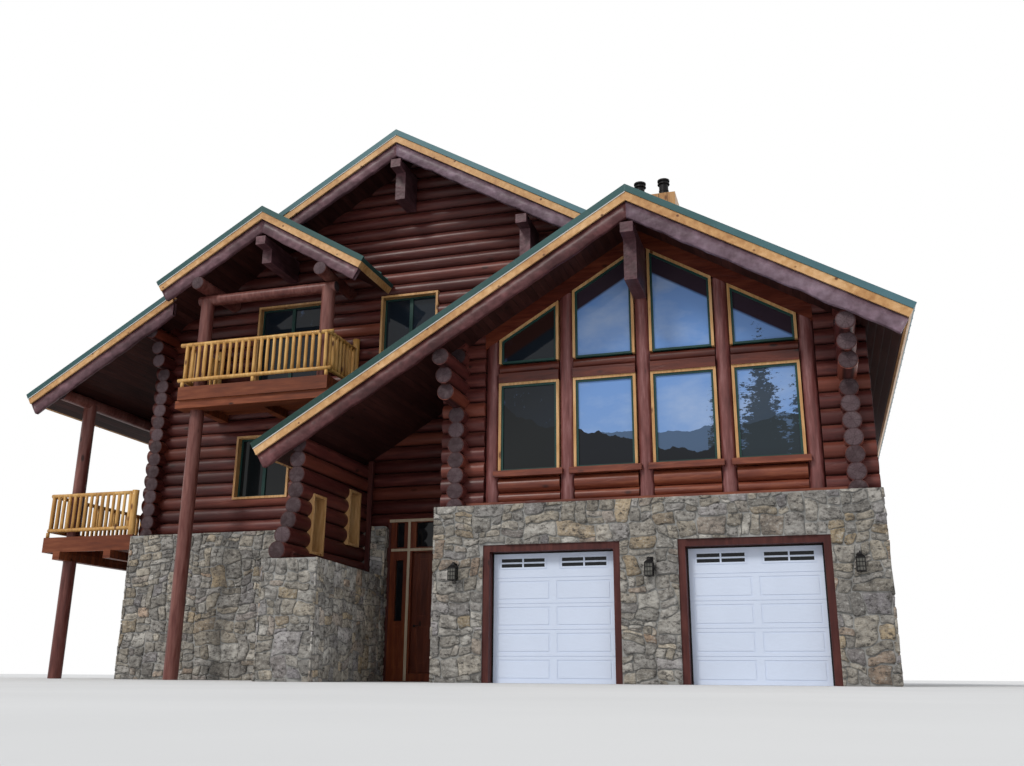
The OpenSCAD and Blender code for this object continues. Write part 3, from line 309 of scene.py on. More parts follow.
def log_material(name, axis, valley=None, tones=LOG_TONES, shade_from=None, gloss=0.12):
    mat = Shader(name, Coat_Weight=gloss, Coat_Roughness=0.26)
    colour, grain = wood_colour(mat, axis, *tones)
    colour = knots(mat, colour, axis, 2.6, LOG_KNOT, 0.13)
    if valley is not None:
        colour = log_tone(mat, colour, valley)
    colour = painted_top_highlight(mat, colour)
    if shade_from:
        above = mat.math("GREATER_THAN", mat.axis("Z"), shade_from)
        colour = mat.mix(above, colour, mat.multiplied(colour, BAY_SHADE))
    cracks = mat.ramp(mat.noise(5, ALONG[axis], 2), (0.485, 1.0), (0.5, 0.0), (0.515, 1.0))
    rough = mat.ramp(grain, (0.3, 0.34), (0.7, 0.54))
    return mat.finish(colour, rough, mat.mul(mat.add(grain, cracks), 0.5), 0.006)


def corner_material():
    """Logs that cross: the grain follows the way that each surface faces."""
    mat = Shader("crossing_logs", Roughness=0.44, Coat_Weight=0.12, Coat_Roughness=0.3)
    along_x, grain_x = wood_colour(mat, "X", *LOG_TONES)
    along_y, grain_y = wood_colour(mat, "Y", *LOG_TONES)
    along_x = log_tone(mat, along_x, STONE_H)
    along_y = log_tone(mat, along_y, STONE_H + COURSE / 2)
    side, front = (mat.math("ABSOLUTE", mat.axis(name, mat.normal())) for name in "XY")
    colour = mat.mix(mat.math("GREATER_THAN", side, front), along_x, along_y)
    return mat.finish(painted_top_highlight(mat, colour), None, mat.add(grain_x, grain_y), 0.003)


END_TONES = [(0.034, 0.018, 0.02), (0.06, 0.035, 0.04), (0.1, 0.064, 0.072)]
END_BLOTCH = (0.135, 0.1, 0.106)
END_RING = (0.04, 0.024, 0.024)
END_RIM = (0.045, 0.018, 0.018)
END_CRACK = (0.02, 0.012, 0.01)


def end_material():
    """Weathered end grain: rings and drying cracks about each log's heart."""
    mat = Shader("log_ends", Roughness=0.72)
    flat = mat.node("ShaderNodeUVMap", uv_map="heart").outputs["UV"]
    radius = mat.node("ShaderNodeVectorMath", {0: flat}, operation="LENGTH").outputs["Value"]
    wobble = mat.mul(mat.noise(3, where=flat), 0.12)
    rings = mat.math("SINE", mat.mul(mat.add(radius, wobble), 150.0))
    turn = mat.math("ARCTAN2", mat.axis("Y", flat), mat.axis("X", flat))
    polar = mat.node("ShaderNodeCombineXYZ", {"X": mat.mul(turn, 1.3), "Y": mat.mul(radius, 0.7)})
    crack = mat.noise(1.0, where=polar.outputs[0])
    crack = mat.ramp(crack, (0.485, 0.0), (0.5, 1.0), (0.515, 0.0))
    colour = mat.ramp(mat.tint(), *zip((0.0, 0.5, 1.0), END_TONES))
    colour = mat.layer(colour, END_BLOTCH, mat.noise(7, detail=6, rough=0.65), (0.45, 0.0), (0.7, 0.5))
    colour = mat.layer(colour, END_RING, rings, (0.2, 0.0), (0.9, 0.18))
    colour = mat.layer(colour, END_RIM, radius, (0.135, 0.0), (0.172, 0.75))
    colour = mat.mix(mat.mul(crack, 0.45), colour, END_CRACK)
    return mat.finish(colour, None, mat.sub(mat.mul(rings, 0.3), crack), 0.003)


def boards(mat, colour, tone, spacing, across, grain):
    """Joints of boards, whose tones differ; gives the colour and the height."""
    step = mat.div(mat.axis(across), spacing)
    colour = mat.layer(colour, tone, mat.step_value(step), (0.0, 0.0), (1.0, 0.5))
    gap = mat.ramp(mat.off_middle(step), (0.46, 0.0), (0.485, 1.0))
    return mat.mix(gap, colour, (0.012, 0.006, 0.005)), mat.sub(mat.mul(grain, 0.3), gap)


def timber_material(name, axis, tones, spacing=None, across="X", rough=0.5, worn=None):
    """Hewn or sawn timber, with the joints of boards when a spacing is given."""
    mat = Shader(name, Roughness=rough)
    colour, grain = wood_colour(mat, axis, *tones)
    colour = knots(mat, colour, axis, 3.0, tuple(c * 0.3 for c in tones[0]), 0.12)
    height = grain
    if spacing:
        colour, height = boards(mat, colour, tuple(c * 0.5 for c in tones[0]), spacing, across, grain)
    colour = edge_wear(mat, colour, worn or tuple(min(1.0, c * 1.5) for c in tones[2]))
    return mat.finish(colour, None, height, 0.006)


def hewn_material(name, axis, tones, other=None):
    """Axe-hewn timber with broad shallow facets; a piece's tint leads to the other tones."""
    mat = Shader(name, Roughness=0.45, Coat_Weight=0.1, Coat_Roughness=0.3)
    colour, grain = wood_colour(mat, axis, *tones)
    if other:
        colour = mat.mix(mat.tint(), colour, wood_colour(mat, axis, *other)[0])
    facets = mat.noise(3.2, (1, 1, 1.6), 2, 0.4)
    colour = mat.layer(colour, mat.multiplied(colour, (1.6, 1.6, 1.6)), facets, (0.5, 0.0), (0.68, 0.6))
    colour = edge_wear(mat, colour, mat.multiplied(colour, (2.0, 2.0, 2.0)), 0.02)
    return mat.finish(colour, None, mat.add(facets, mat.mul(grain, 0.3)), 0.03)


HEWN = [(0.04, 0.016, 0.019), (0.072, 0.03, 0.036), (0.12, 0.055, 0.064)]
BARGE = [(0.04, 0.012, 0.013), (0.072, 0.023, 0.024), (0.12, 0.045, 0.047)]
GREY_BARGE = [(0.085, 0.05, 0.064), (0.14, 0.09, 0.115), (0.2, 0.14, 0.175)]
SOFFIT = [(0.025, 0.008, 0.007), (0.046, 0.014, 0.012), (0.08, 0.027, 0.022)]
PINE = [(0.36, 0.17, 0.06), (0.52, 0.285, 0.115), (0.68, 0.42, 0.21)]
RAIL = [(0.33, 0.15, 0.035), (0.5, 0.265, 0.075), (0.68, 0.42, 0.15)]
DECK = [(0.09, 0.02, 0.008), (0.175, 0.042, 0.015), (0.28, 0.085, 0.035)]
DOOR = [(0.055, 0.012, 0.007), (0.105, 0.024, 0.012), (0.17, 0.045, 0.02)]
RED_TRIM = [(0.035, 0.008, 0.007), (0.06, 0.014, 0.012), (0.1, 0.028, 0.022)]
RAW = [(0.4, 0.31, 0.21), (0.52, 0.42, 0.3), (0.62, 0.52, 0.39)]
ORANGE = [(0.075, 0.014, 0.007), (0.14, 0.03, 0.012), (0.22, 0.06, 0.02)]


def pine_material(name, axis, scale=3.4, tones=PINE, spacing=None):
    mat = Shader(name, Coat_Weight=0.15)
    colour, grain = wood_colour(mat, axis, *tones, grain=18)
    colour = knots(mat, colour, axis, scale, (0.13, 0.045, 0.015), 0.15)
    height = grain
    if spacing:
        colour, height = boards(mat, colour, tones[0], spacing, "X", grain)
    colour = edge_wear(mat, colour, (0.8, 0.58, 0.3), 0.008)
    return mat.finish(colour, mat.ramp(grain, (0.3, 0.35), (0.7, 0.55)), height, 0.003)


STONE_TONES = [
    (0.0, (0.28, 0.265, 0.25)), (0.16, (0.4, 0.375, 0.34)), (0.3, (0.45, 0.395, 0.315)),
    (0.45, (0.34, 0.315, 0.28)), (0.58, (0.48, 0.455, 0.415)), (0.7, (0.3, 0.28, 0.29)),
    (0.82, (0.46, 0.355, 0.225)), (0.92, (0.5, 0.48, 0.44)), (1.0, (0.42, 0.29, 0.2))]
DAMP = (0.13, 0.118, 0.105)
HOLLOW_SHADE = (0.05, 0.045, 0.042)
LICHEN = (0.58, 0.57, 0.53)
SPECK = (0.6, 0.59, 0.55)


def stone_material():
    """Rough grey rubble with lichen and painted shade in its hollows; a stone's tint sets its colour and
    shade, and paints light on the stones facing into the porch.
    """
    mat = Shader("fieldstone", Roughness=0.88)
    parts = mat.node("ShaderNodeSeparateColor", {"Color": mat.tint("Color")})
    # The tint's green sets each stone's brightness; above 0.5 it is painted light on the stones facing into
    # the porch
    shade = mat.ramp(parts.outputs[1], (0.0, 0.62), (0.5, 1.15), (1.0, 1.9))
    base = mat.multiplied(mat.ramp(parts.outputs[0], *STONE_TONES), shade)
    broad = mat.noise(3.6, detail=7, rough=0.62)
    coarse = mat.noise(10, (1, 1, 1.5), 8, 0.75)
    fine = mat.noise(46, detail=5, rough=0.7)
    colour = mat.layer(base, DAMP, broad, (0.4, 0.6), (0.56, 0.0))
    # Painted shade in the hollows of the rough face
    colour = mat.layer(colour, HOLLOW_SHADE, coarse, (0.38, 0.9), (0.49, 0.0))
    colour = mat.layer(colour, LICHEN, coarse, (0.55, 0.0), (0.68, 0.7))
    colour = mat.layer(colour, SPECK, fine, (0.56, 0.0), (0.7, 0.5))
    height = mat.add(mat.mul(broad, 0.8), mat.mul(coarse, 0.7))
    height = mat.add(height, mat.mul(mat.spots(9, (1, 1, 1.5)), 0.5))
    return mat.finish(colour, None, mat.add(height, mat.mul(fine, 0.12)), 0.055)


def mortar_material():
    mat = Shader("mortar", Roughness=0.95)
    coarse = mat.noise(4, detail=6, rough=0.6)
    colour = mat.ramp(coarse, (0.3, (0.2, 0.195, 0.185)), (0.7, (0.38, 0.375, 0.36)))
    return mat.finish(colour, None, mat.add(coarse, mat.noise(60, detail=4, rough=0.7)), 0.01)


METAL_TONES = [(0.008, 0.036, 0.028), (0.032, 0.088, 0.088), (0.085, 0.175, 0.205)]
METAL_STAIN = (0.75, 0.8, 0.8)
METAL_DUST = (0.2, 0.25, 0.26)
METAL_WORN = (0.14, 0.22, 0.22)


def metal_material():
    """Green sheet; a piece's tint paints in a reflection of the sky's slate blue, most on the right-hand
    slopes.
    """
    mat = Shader("green_roofing", Metallic=0.1)
    base = mat.ramp(mat.tint(), *zip((0.0, 0.5, 1.0), METAL_TONES))
    broad = mat.noise(0.9, detail=4)
    colour = mat.layer(mat.multiplied(base, METAL_STAIN), base, broad, (0.3, 0.0), (0.7, 1.0))
    colour = mat.layer(colour, METAL_DUST, mat.noise(9, detail=6, rough=0.7), (0.55, 0.0), (0.75, 0.12))
    colour = edge_wear(mat, colour, METAL_WORN, 0.01, 0.4)
    return mat.finish(colour, mat.ramp(broad, (0.3, 0.34), (0.7, 0.5)), broad, 0.004)


def painted_material(name, tone, rough, spread=0.06, scale=3.0, metallic=0.0, worn=None):
    mat = Shader(name, Roughness=rough, Metallic=metallic)
    dark = tuple(c * (1 - spread) for c in tone)
    light = tuple(min(1.0, c * (1 + spread)) for c in tone)
    colour = mat.ramp(mat.noise(scale, detail=5), (0.3, dark), (0.7, light))
    colour = edge_wear(mat, colour, worn or light, 0.006, 0.5)
    return mat.finish(colour, None, mat.noise(90, detail=3), 0.0006)


FAR_HILL_Z = 4.75
NEAR_HILL_Z = 4.52
EAVE_IN_GLASS = WING_RIDGE_Z - 1.02
FIR_PITCH = 0.86
FIR_TIP_Z = 5.2
FIRS_FROM = 1.2
DARK_PANE_TO = -1.75
SKY_TONES = [(0.45, (0.18, 0.31, 0.58)), (0.6, (0.15, 0.29, 0.6)), (0.86, (0.13, 0.27, 0.6))]
CLOUD = (0.44, 0.52, 0.66)
FAR_HILL = (0.065, 0.11, 0.19)
NEAR_HILL = (0.006, 0.008, 0.012)
FIR = (0.012, 0.018, 0.018)
WOODS = (0.008, 0.01, 0.011)
MIRRORED_EAVE = (0.03, 0.012, 0.01)
BLACK_PANE = (0.006, 0.007, 0.009)


def below(mat, height, middle, swing, scale, line):
    """1 under a rough skyline."""
    rise = mat.mul(mat.noise(scale, detail=6, where=line), swing)
    return mat.math("LESS_THAN", height, mat.add(middle - swing / 2, rise))


def firs(mat, across, height):
    """1 where a row of pointed trees stands."""
    row = mat.div(across, FIR_PITCH)
    tip = mat.add(FIR_TIP_Z, mat.mul(mat.step_value(row), 1.7))
    ragged = mat.mul(mat.sub(mat.noise(8.5, (1, 1, 2.2), 6, 0.75), 0.56), 1.9)
    width = mat.add(mat.mul(mat.sub(tip, height), 0.3), ragged)
    return mat.math("LESS_THAN", mat.off_middle(row), width)


def mirrored_hills(mat, across, z):
    """A painted reflection: a sky over far hills, firs and near hills."""
    line = mat.node("ShaderNodeCombineXYZ", {"X": mat.add(mat.axis("X"), mat.axis("Y"))}).outputs[0]
    sky = mat.ramp(mat.div(z, 10.0), *SKY_TONES)
    colour = mat.layer(sky, CLOUD, mat.noise(0.55, (1, 1, 2.0), 6, 0.6), (0.46, 0.0), (0.75, 0.6))
    colour = mat.mix(below(mat, z, FAR_HILL_Z, 1.2, 0.5, line), colour, FAR_HILL)
    round_corner = mat.add(across, mat.sub(mat.axis("Y"), at(0, WING_WALL_Y, 0).y))
    stand = mat.mul(mat.math("GREATER_THAN", across, FIRS_FROM), firs(mat, round_corner, z))
    colour = mat.mix(mat.mul(stand, 0.9), colour, FIR)
    slope = mat.add(z, mat.mul(across, 0.26))
    return mat.mix(below(mat, slope, NEAR_HILL_Z, 1.3, 0.9, line), colour, NEAR_HILL)


def glass_material():
    """Dark panes with a painted reflection of a sky over hills and trees; the garage's panes are black,
    painted shade for the dark inside.
    """
    mat = Shader("window_glass", Roughness=0.03, IOR=1.36, Specular_IOR_Level=0.4)
    z = mat.axis("Z")
    across = mat.sub(mat.axis("X"), RIDGE_X)
    colour = mirrored_hills(mat, across, z)
    # Painted reflection of dark woods in the panes to the left
    leaves = mat.add(mat.mul(mat.noise(1.6, (1, 1, 0.25), 3), 0.5),
                     mat.mul(mat.noise(7.0, detail=6, rough=0.8), 0.55))
    woods = mat.mul(mat.ramp(leaves, (0.4, 0.75), (0.44, 0.98)), mat.math("LESS_THAN", across, DARK_PANE_TO))
    colour = mat.mix(woods, colour, WOODS)
    # Painted reflection of the eave's dark underside along the tops of the wing's panes
    over_eave = mat.sub(mat.add(z, mat.mul(mat.math("ABSOLUTE", across), PITCH)), EAVE_IN_GLASS)
    eave = mat.ramp(over_eave, (0.0, 0.0), (0.06, 0.96))
    wing = mat.math("GREATER_THAN", across, -WING_HALF)
    colour = mat.mix(mat.mul(eave, wing), colour, MIRRORED_EAVE)
    # Painted shade: the garage's panes are black for the dark inside them
    colour = mat.mix(mat.math("LESS_THAN", z, STONE_H), colour, BLACK_PANE)
    return mat.finish(colour, None, mat.noise(1.3, detail=1), 0.0012)


def concrete_material():
    mat = Shader("concrete", Roughness=0.9)
    coarse = mat.noise(2.5, detail=7, rough=0.6)
    colour = mat.ramp(coarse, (0.3, (0.30, 0.29, 0.27)), (0.7, (0.43, 0.42, 0.39)))
    return mat.finish(colour, None, mat.noise(40, detail=5), 0.004)


MATERIALS = {
    "logs_x": log_material("logs_x", "X", STONE_H),
    "logs_y": log_material("logs_y", "Y", STONE_H + COURSE / 2),
    "round_x": log_material("round_x", "X", None, BAY_TONES, BAY_SHADE_Z, GLOSSY),
    "round_z": log_material("round_z", "Z", None, DECK_POST_TONES),
    "post": log_material("window_posts", "Z", None, POST_TONES, gloss=GLOSSY),
    "corners": corner_material(),
    "ends": end_material(),
    "hewn_y": hewn_material("hewn_beams", "Y", HEWN),
    "barge": hewn_material("hewn_barges", "slope", BARGE, GREY_BARGE),
    "soffit": timber_material("soffit", "Y", SOFFIT, 0.13),
    "pine_slope": pine_material("pine_slope", "slope", 5.0),
    "pine_z": pine_material("pine_z", "Z"),
    "rail": pine_material("rail_poles", "Z", tones=RAIL),
    "chase": pine_material("chase_boards", "Z", spacing=0.2),
    "deck": timber_material("deck_boards", "X", DECK, 0.14, "Y"),
    "floor": timber_material("floor_boards", "X", PINE, 0.14, "Y"),
    "door": timber_material("door_timber", "Z", DOOR, rough=0.36),
    "door_frame": timber_material("door_frame", "Z", ORANGE, rough=0.36),
    "red_trim": timber_material("red_trim", "Z", RED_TRIM),
    "raw_wood": timber_material("raw_wood", "Z", RAW, worn=(0.7, 0.62, 0.5)),
    "stone": stone_material(),
    "mortar": mortar_material(),
    "metal": metal_material(),
    "drip": painted_material("drip_edge", (0.62, 0.63, 0.62), 0.5),
    "sash": painted_material("green_sashes", (0.014, 0.048, 0.041), 0.4, 0.2, worn=(0.07, 0.15, 0.13)),
    "white": painted_material("white_doors", (0.61, 0.675, 0.81), 0.38, 0.03, 1.2, worn=(0.68, 0.73, 0.84)),
    "black": painted_material("black_metal", (0.012, 0.011, 0.012), 0.45, 0.3, 6, 0.5, (0.09, 0.08, 0.07)),
    # Black rubber seals, whose black is also painted shade for the gap round the garage doors
    "rubber_and_gap_shade": painted_material("seal_and_gap_shade", (0.012, 0.012, 0.013), 0.8, 0.3, worn=(0.04, 0.04, 0.04)),
    "smoked": painted_material("lantern_glass", (0.13, 0.125, 0.11), 0.08, 0.4, 9),
    "glass": glass_material(),
    "concrete": concrete_material(),
}

NODE_MATERIALS = {
    "mortar": ["garage_front_wall", "right_stone_wall", "back_stone_wall", "left_stone_wall",
               "front_stone_wall", "entry_stone", "garage_side_wall", "porch_stone_base"],
    "concrete": ["ground_floor"],
    "floor": ["main_floor", "upper_floor"],
    "corners": ["log_corners"],
    "logs_x": ["wing_front_logs", "main_front_logs", "back_logs"],
    "logs_y": ["wing_side_logs", "right_logs", "left_logs", "porch_logs"],
    "post": ["wing_window_posts"],
    "round_z": ["veranda_posts", "balcony_posts"],
    "round_x": ["wing_bay_timbers"],
    "soffit": ["roof_deck_left", "roof_deck_right", "wing_roof_deck", "balcony_roof_deck"],
    "metal": ["roof_metal"],
    "pine_slope": ["pine_fascias"],
    "barge": ["barge_rafters"],
    "hewn_y": ["ridge_beams"],
    "pine_z": ["window_casings", "balcony_door_casing"],
    "rail": ["balcony_railing", "veranda_railing"],
    "sash": ["window_sashes"],
    "glass": ["window_glass"],
    "white": ["garage_door_left", "garage_door_right"],
    "red_trim": ["garage_trim"],
    "door_frame": ["entry_frame"],
    "black": ["entry_hinges", "entry_door_hardware", "wall_lanterns", "flue_pipes"],
    "door": ["entry_door"],
    "deck": ["balcony_deck", "veranda_deck"],
    "chase": ["flue_chase"],
}


def dress_nodes():
    for key, names in NODE_MATERIALS.items():
        for name in names:
            slots = NODES[name].data.materials
            slots.clear()
            slots.append(MATERIALS[key])


# Meshes
def add_object(name, data):
    made = bpy.data.objects.new(name, data)
    bpy.context.scene.collection.objects.link(made)
    return made


class Mesh:
    """Faces of one piece, each part with a tint of its own."""

    def __init__(self):
        self.points, self.faces, self.tints, self.flat = [], [], [], []

    def add(self, points, faces, tint=(0.5, 0.5, 0.5), flat=None):
        start = len(self.points)
        self.points.extend(points)
        self.faces.extend([tuple(start + i for i in face) for face in faces])
        self.tints.extend([tint] * len(points))
        self.flat.extend(flat or [(0.0, 0.0)] * len(points))

    def box(self, x0, x1, y0, y1, z0, z1):
        points = [at(x, y, z) for z in (z0, z1) for y in (y0, y1) for x in (x0, x1)]
        self.add(points, [(0, 2, 3, 1), (4, 5, 7, 6), (0, 1, 5, 4), (2, 6, 7, 3), (0, 4, 6, 2), (1, 3, 7, 5)])

    def piece(self, name, key, slot, body=HOUSE, bevel=0.0, smooth=True):
        mesh = bpy.data.meshes.new(name)
        mesh.from_pydata([tuple(p) for p in self.points], [], self.faces)
        tint = mesh.color_attributes.new("tint", "FLOAT_COLOR", "POINT")
        tint.data.foreach_set("color", [c for t in self.tints for c in (*t, 1.0)])
        flat = mesh.uv_layers.new(name="heart")
        flat.data.foreach_set("uv", [c for face in self.faces for i in face for c in self.flat[i]])
        mesh.materials.append(MATERIALS[key])
        mesh.validate()
        mesh.polygons.foreach_set("use_smooth", [smooth] * len(mesh.polygons))
        made = add_object(name, mesh)
        if bevel:
            round_edges(made, bevel)
        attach(made, body)
        return made


def round_edges(target, width):
    target.modifiers.new("weld", "WELD").merge_threshold = 0.0002
    bevel = target.modifiers.new("bevel", "BEVEL")
    bevel.width = width
    bevel.segments = 2
    bevel.limit_method = "ANGLE"
    bevel.angle_limit = math.radians(50)
    bevel.harden_normals = False


def around(count):
    return [(i, (i + 1) % count) for i in range(count)]


def skin(count, rings):
    """Faces between rings of as many points each."""
    return [(r * count + i, r * count + j, (r + 1) * count + j, (r + 1) * count + i)
            for r in range(rings - 1) for i, j in around(count)]


def caps(count, rings):
    """The faces that close the first ring and the last."""
    last = (rings - 1) * count
    return [tuple(reversed(range(count))), tuple(range(last, last + count))]


def fan(count, rings):
    """Triangles from the last ring to one point after it."""
    last = (rings - 1) * count
    return [(last + i, last + j, last + count) for i, j in around(count)]


def flipped(faces):
    return [tuple(reversed(face)) for face in faces]


def circle(radii):
    """Points round the origin, one for each radius."""
    turns = [2 * math.pi * i / len(radii) for i in range(len(radii))]
    return [(r * math.cos(turn), r * math.sin(turn)) for r, turn in zip(radii, turns)]


def clip(polygon, a, b, c):
    """Keeps the part of a convex polygon where a u + b v <= c."""
    kept = []
    for i, p in enumerate(polygon):
        q = polygon[(i + 1) % len(polygon)]
        dp, dq = a * p[0] + b * p[1] - c, a * q[0] + b * q[1] - c
        if dp <= 0:
            kept.append(p)
        if dp * dq < 0:
            t = dp / (dp - dq)
            kept.append((p[0] + t * (q[0] - p[0]), p[1] + t * (q[1] - p[1])))
    return kept


def area(polygon):
    return abs(sum(p[0] * q[1] - q[0] * p[1] for p, q in zip(polygon, polygon[1:] + polygon[:1]))) / 2


def middle(polygon):
    return [sum(values) / len(polygon) for values in zip(*polygon)]


def reach(polygon):
    us, vs = zip(*polygon)
    return min(us), min(vs), max(us), max(vs)


# Fieldstone
STONE_PROUD = 0.042
LEAST_PROUD = 0.003
ROUGH = 0.014
JOINT = 0.004
PAST = 0.3
CORNER_IN = 0.012
CORNER_CUT = 0.024
OUTLINE_STEP = 0.075
OUTLINE_ROUGH = 0.004
SMALLEST = 0.05
STONE_RINGS = ((1.0, -0.012), (0.994, 0.5), (0.972, 0.86), (0.62, 1.0))


def blocks(u0, v0, u1, v1, rng, found):
    """Divides a rectangle into uneven blocks, most of them wider than high."""
    w, h = u1 - u0, v1 - v0
    if w * h < 0.035 + 0.2 * rng.random() ** 1.8 or (w < 0.3 and h < 0.18):
        found.append((u0, v0, u1, v1))
        return
    share = rng.uniform(0.34, 0.66)
    if w > h * rng.uniform(0.8, 2.3):
        u = u0 + share * w
        blocks(u0, v0, u, v1, rng, found)
        blocks(u, v0, u1, v1, rng, found)
    else:
        v = v0 + share * h
        blocks(u0, v0, u1, v, rng, found)
        blocks(u0, v, u1, v1, rng, found)


def warp(u, v, key):
    """Bends the joints so that no line runs straight through a wall."""
    slow = noise.noise_vector(Vector((u * 1.25, v * 1.5, key)))
    quick = noise.noise_vector(Vector((u * 4.8, v * 4.8, key + 9)))
    return u + slow.x * 0.15 + quick.x * 0.055, v + slow.y * 0.17 + quick.y * 0.055


def block_outline(block, key, rng):
    u0, v0, u1, v1 = block
    corners = []
    most = min(CORNER_IN, 0.16 * min(u1 - u0, v1 - v0))
    for u, v, du, dv in ((u0, v0, 1, 1), (u1, v0, -1, 1), (u1, v1, -1, -1), (u0, v1, 1, -1)):
        corners.append((u + du * (JOINT + rng.random() * most), v + dv * (JOINT + rng.random() * most)))
    outline = []
    for i, j in around(4):
        p, q = corners[i], corners[j]
        length = math.hypot(q[0] - p[0], q[1] - p[1])
        steps = max(2, round(length / OUTLINE_STEP))
        cut = min(0.2, CORNER_CUT * rng.uniform(0.4, 1.4) / length)
        for k in range(steps + 1):
            t = cut + (1 - 2 * cut) * k / steps
            u, v = warp(p[0] + t * (q[0] - p[0]), p[1] + t * (q[1] - p[1]), key)
            outline.append((u + rng.uniform(-OUTLINE_ROUGH, OUTLINE_ROUGH),
                            v + rng.uniform(-OUTLINE_ROUGH, OUTLINE_ROUGH)))
    return outline


def fit(outline, width, height, holes):
    """Cuts a stone to its wall and to the side of each hole that it lies on."""
    for side in ((1, 0, width), (-1, 0, 0), (0, 1, height), (0, -1, 0)):
        outline = clip(outline, *side)
        if len(outline) < 4:
            return []
    for u0, v0, u1, v1 in holes:
        low_u, low_v, high_u, high_v = reach(outline)
        if high_u < u0 or low_u > u1 or high_v < v0 or low_v > v1:
            continue
        sides = ((1, 0, u0), (-1, 0, -u1), (0, 1, v0), (0, -1, -v1))
        outline = max((clip(outline, *side) for side in sides), key=area)
        if len(outline) < 4:
            return []
    low_u, low_v, high_u, high_v = reach(outline)
    return outline if min(high_u - low_u, high_v - low_v) > SMALLEST else []


def stone(mesh, outline, origin, along, out, rng, proud, pale):
    """One block with steep broken edges and a rough, slightly tilted face."""
    count = len(outline)
    cu, cv = middle(outline)
    rise = proud * rng.uniform(0.45, 0.9)
    lean_u, lean_v = rng.uniform(-0.05, 0.05), rng.uniform(-0.06, 0.06)
    key = rng.uniform(0, 100)

    def place(du, dv, share, h):
        if h >= 0:
            rough = noise.noise(Vector((key + du * 9, dv * 9, share * 3))) * ROUGH
            h = min(proud, max(LEAST_PROUD, rise * h + (lean_u * du + lean_v * dv) + rough))
        return origin + along * (cu + du) + Vector((0, 0, cv + dv)) + out * h

    points = [place((u - cu) * share, (v - cv) * share, share, h)
              for share, h in STONE_RINGS for u, v in outline]
    points.append(place(0, 0, 0, 1.0))
    faces = skin(count, len(STONE_RINGS)) + fan(count, len(STONE_RINGS))
    if along.cross(UP).dot(out) < 0:
        faces = flipped(faces)
    # The green of the tint carries the painted light of faces inside the porch
    mesh.add(points, faces, (rng.random(), rng.random() / 2 + pale, rng.random()))


def stone_face(mesh, start, end, height, wrap, seed, holes=(), base=0.0, proud=STONE_PROUD, pale=0.0):
    """Covers one upright face from start to end, seen with the face's outside in front."""
    rng = random.Random(seed)
    run = Vector((end[0] - start[0], end[1] - start[1], 0))
    along = run.normalized()
    out = Vector((along.y, -along.x, 0))
    width = run.length + wrap[0] + wrap[1]
    origin = Vector((start[0], start[1], base)) - along * wrap[0]
    holes = [(u0 + wrap[0], v0 - base, u1 + wrap[0], v1 - base) for u0, v0, u1, v1 in holes]
    found = []
    blocks(-PAST, -PAST, width + PAST, height - base + PAST, rng, found)
    for block in found:
        outline = fit(block_outline(block, seed * 7.3, rng), width, height - base, holes)
        if outline:
            stone(mesh, outline, origin, along, out, rng, proud, pale)


CORNER_WRAP = 0.026
WRAP_BOTH, WRAP_START, WRAP_END = (CORNER_WRAP, CORNER_WRAP), (CORNER_WRAP, 0), (0, CORNER_WRAP)
WRAP_BEHIND_BASE = (CORNER_WRAP, 0.1)
HOLE_DOWN = 0.1
# Painted light that brightens the stones facing into the shaded porch
PORCH_PAINTED_LIGHT = 0.4


def hole_of(name, start_x):
    lo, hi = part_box(name)
    return lo.x - TRIM_W - start_x, lo.z - HOLE_DOWN, hi.x + TRIM_W - start_x, hi.z + TRIM_W


def fieldstone():
    lo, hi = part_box("garage_front_wall")
    holes = [hole_of("garage_door_left", lo.x), hole_of("garage_door_right", lo.x)]
    far_x, back_y = low("back_stone_wall").x, high("back_stone_wall").y
    face_y = low("front_stone_wall").y
    base_lo, base_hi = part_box("porch_stone_base")
    frame_lo, frame_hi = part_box("entry_frame")
    # The stones beside the entry, in the porch, get painted light
    over_base = {"base": base_hi.z, "pale": PORCH_PAINTED_LIGHT}
    faces_of = {
        "stones_garage_front": [((lo.x, lo.y), (hi.x, lo.y), WRAP_BOTH, 11, {"holes": holes})],
        "stones_right": [((hi.x, lo.y), (hi.x, back_y), WRAP_BOTH, 12, {})],
        "stones_back": [((hi.x, back_y), (far_x, back_y), WRAP_BOTH, 13, {})],
        "stones_left": [((far_x, back_y), (far_x, face_y), WRAP_BOTH, 14, {}),
                        ((far_x, face_y), (base_lo.x, face_y), WRAP_BEHIND_BASE, 15, {})],
        "stones_entry": [((base_lo.x, face_y), (frame_lo.x, face_y), WRAP_END, 16, over_base),
                         ((frame_hi.x, face_y), (lo.x, face_y), WRAP_START, 17, {}),
                         ((lo.x, face_y), (lo.x, lo.y), WRAP_END, 18, {}),
                         ((frame_lo.x, face_y), (frame_lo.x, frame_lo.y), WRAP_START, 19, {}),
                         ((frame_hi.x, frame_lo.y), (frame_hi.x, face_y), WRAP_END, 20, {})],
    }
    for name, faces in faces_of.items():
        stones = Mesh()
        for start, end, wrap, seed, others in faces:
            stone_face(stones, start, end, STONE_H, wrap, seed, **others)
        stones.piece(name, "stone", "fieldstone")


PORCH_PROUD = 0.032
PORCH_BASE_IN = 1.2


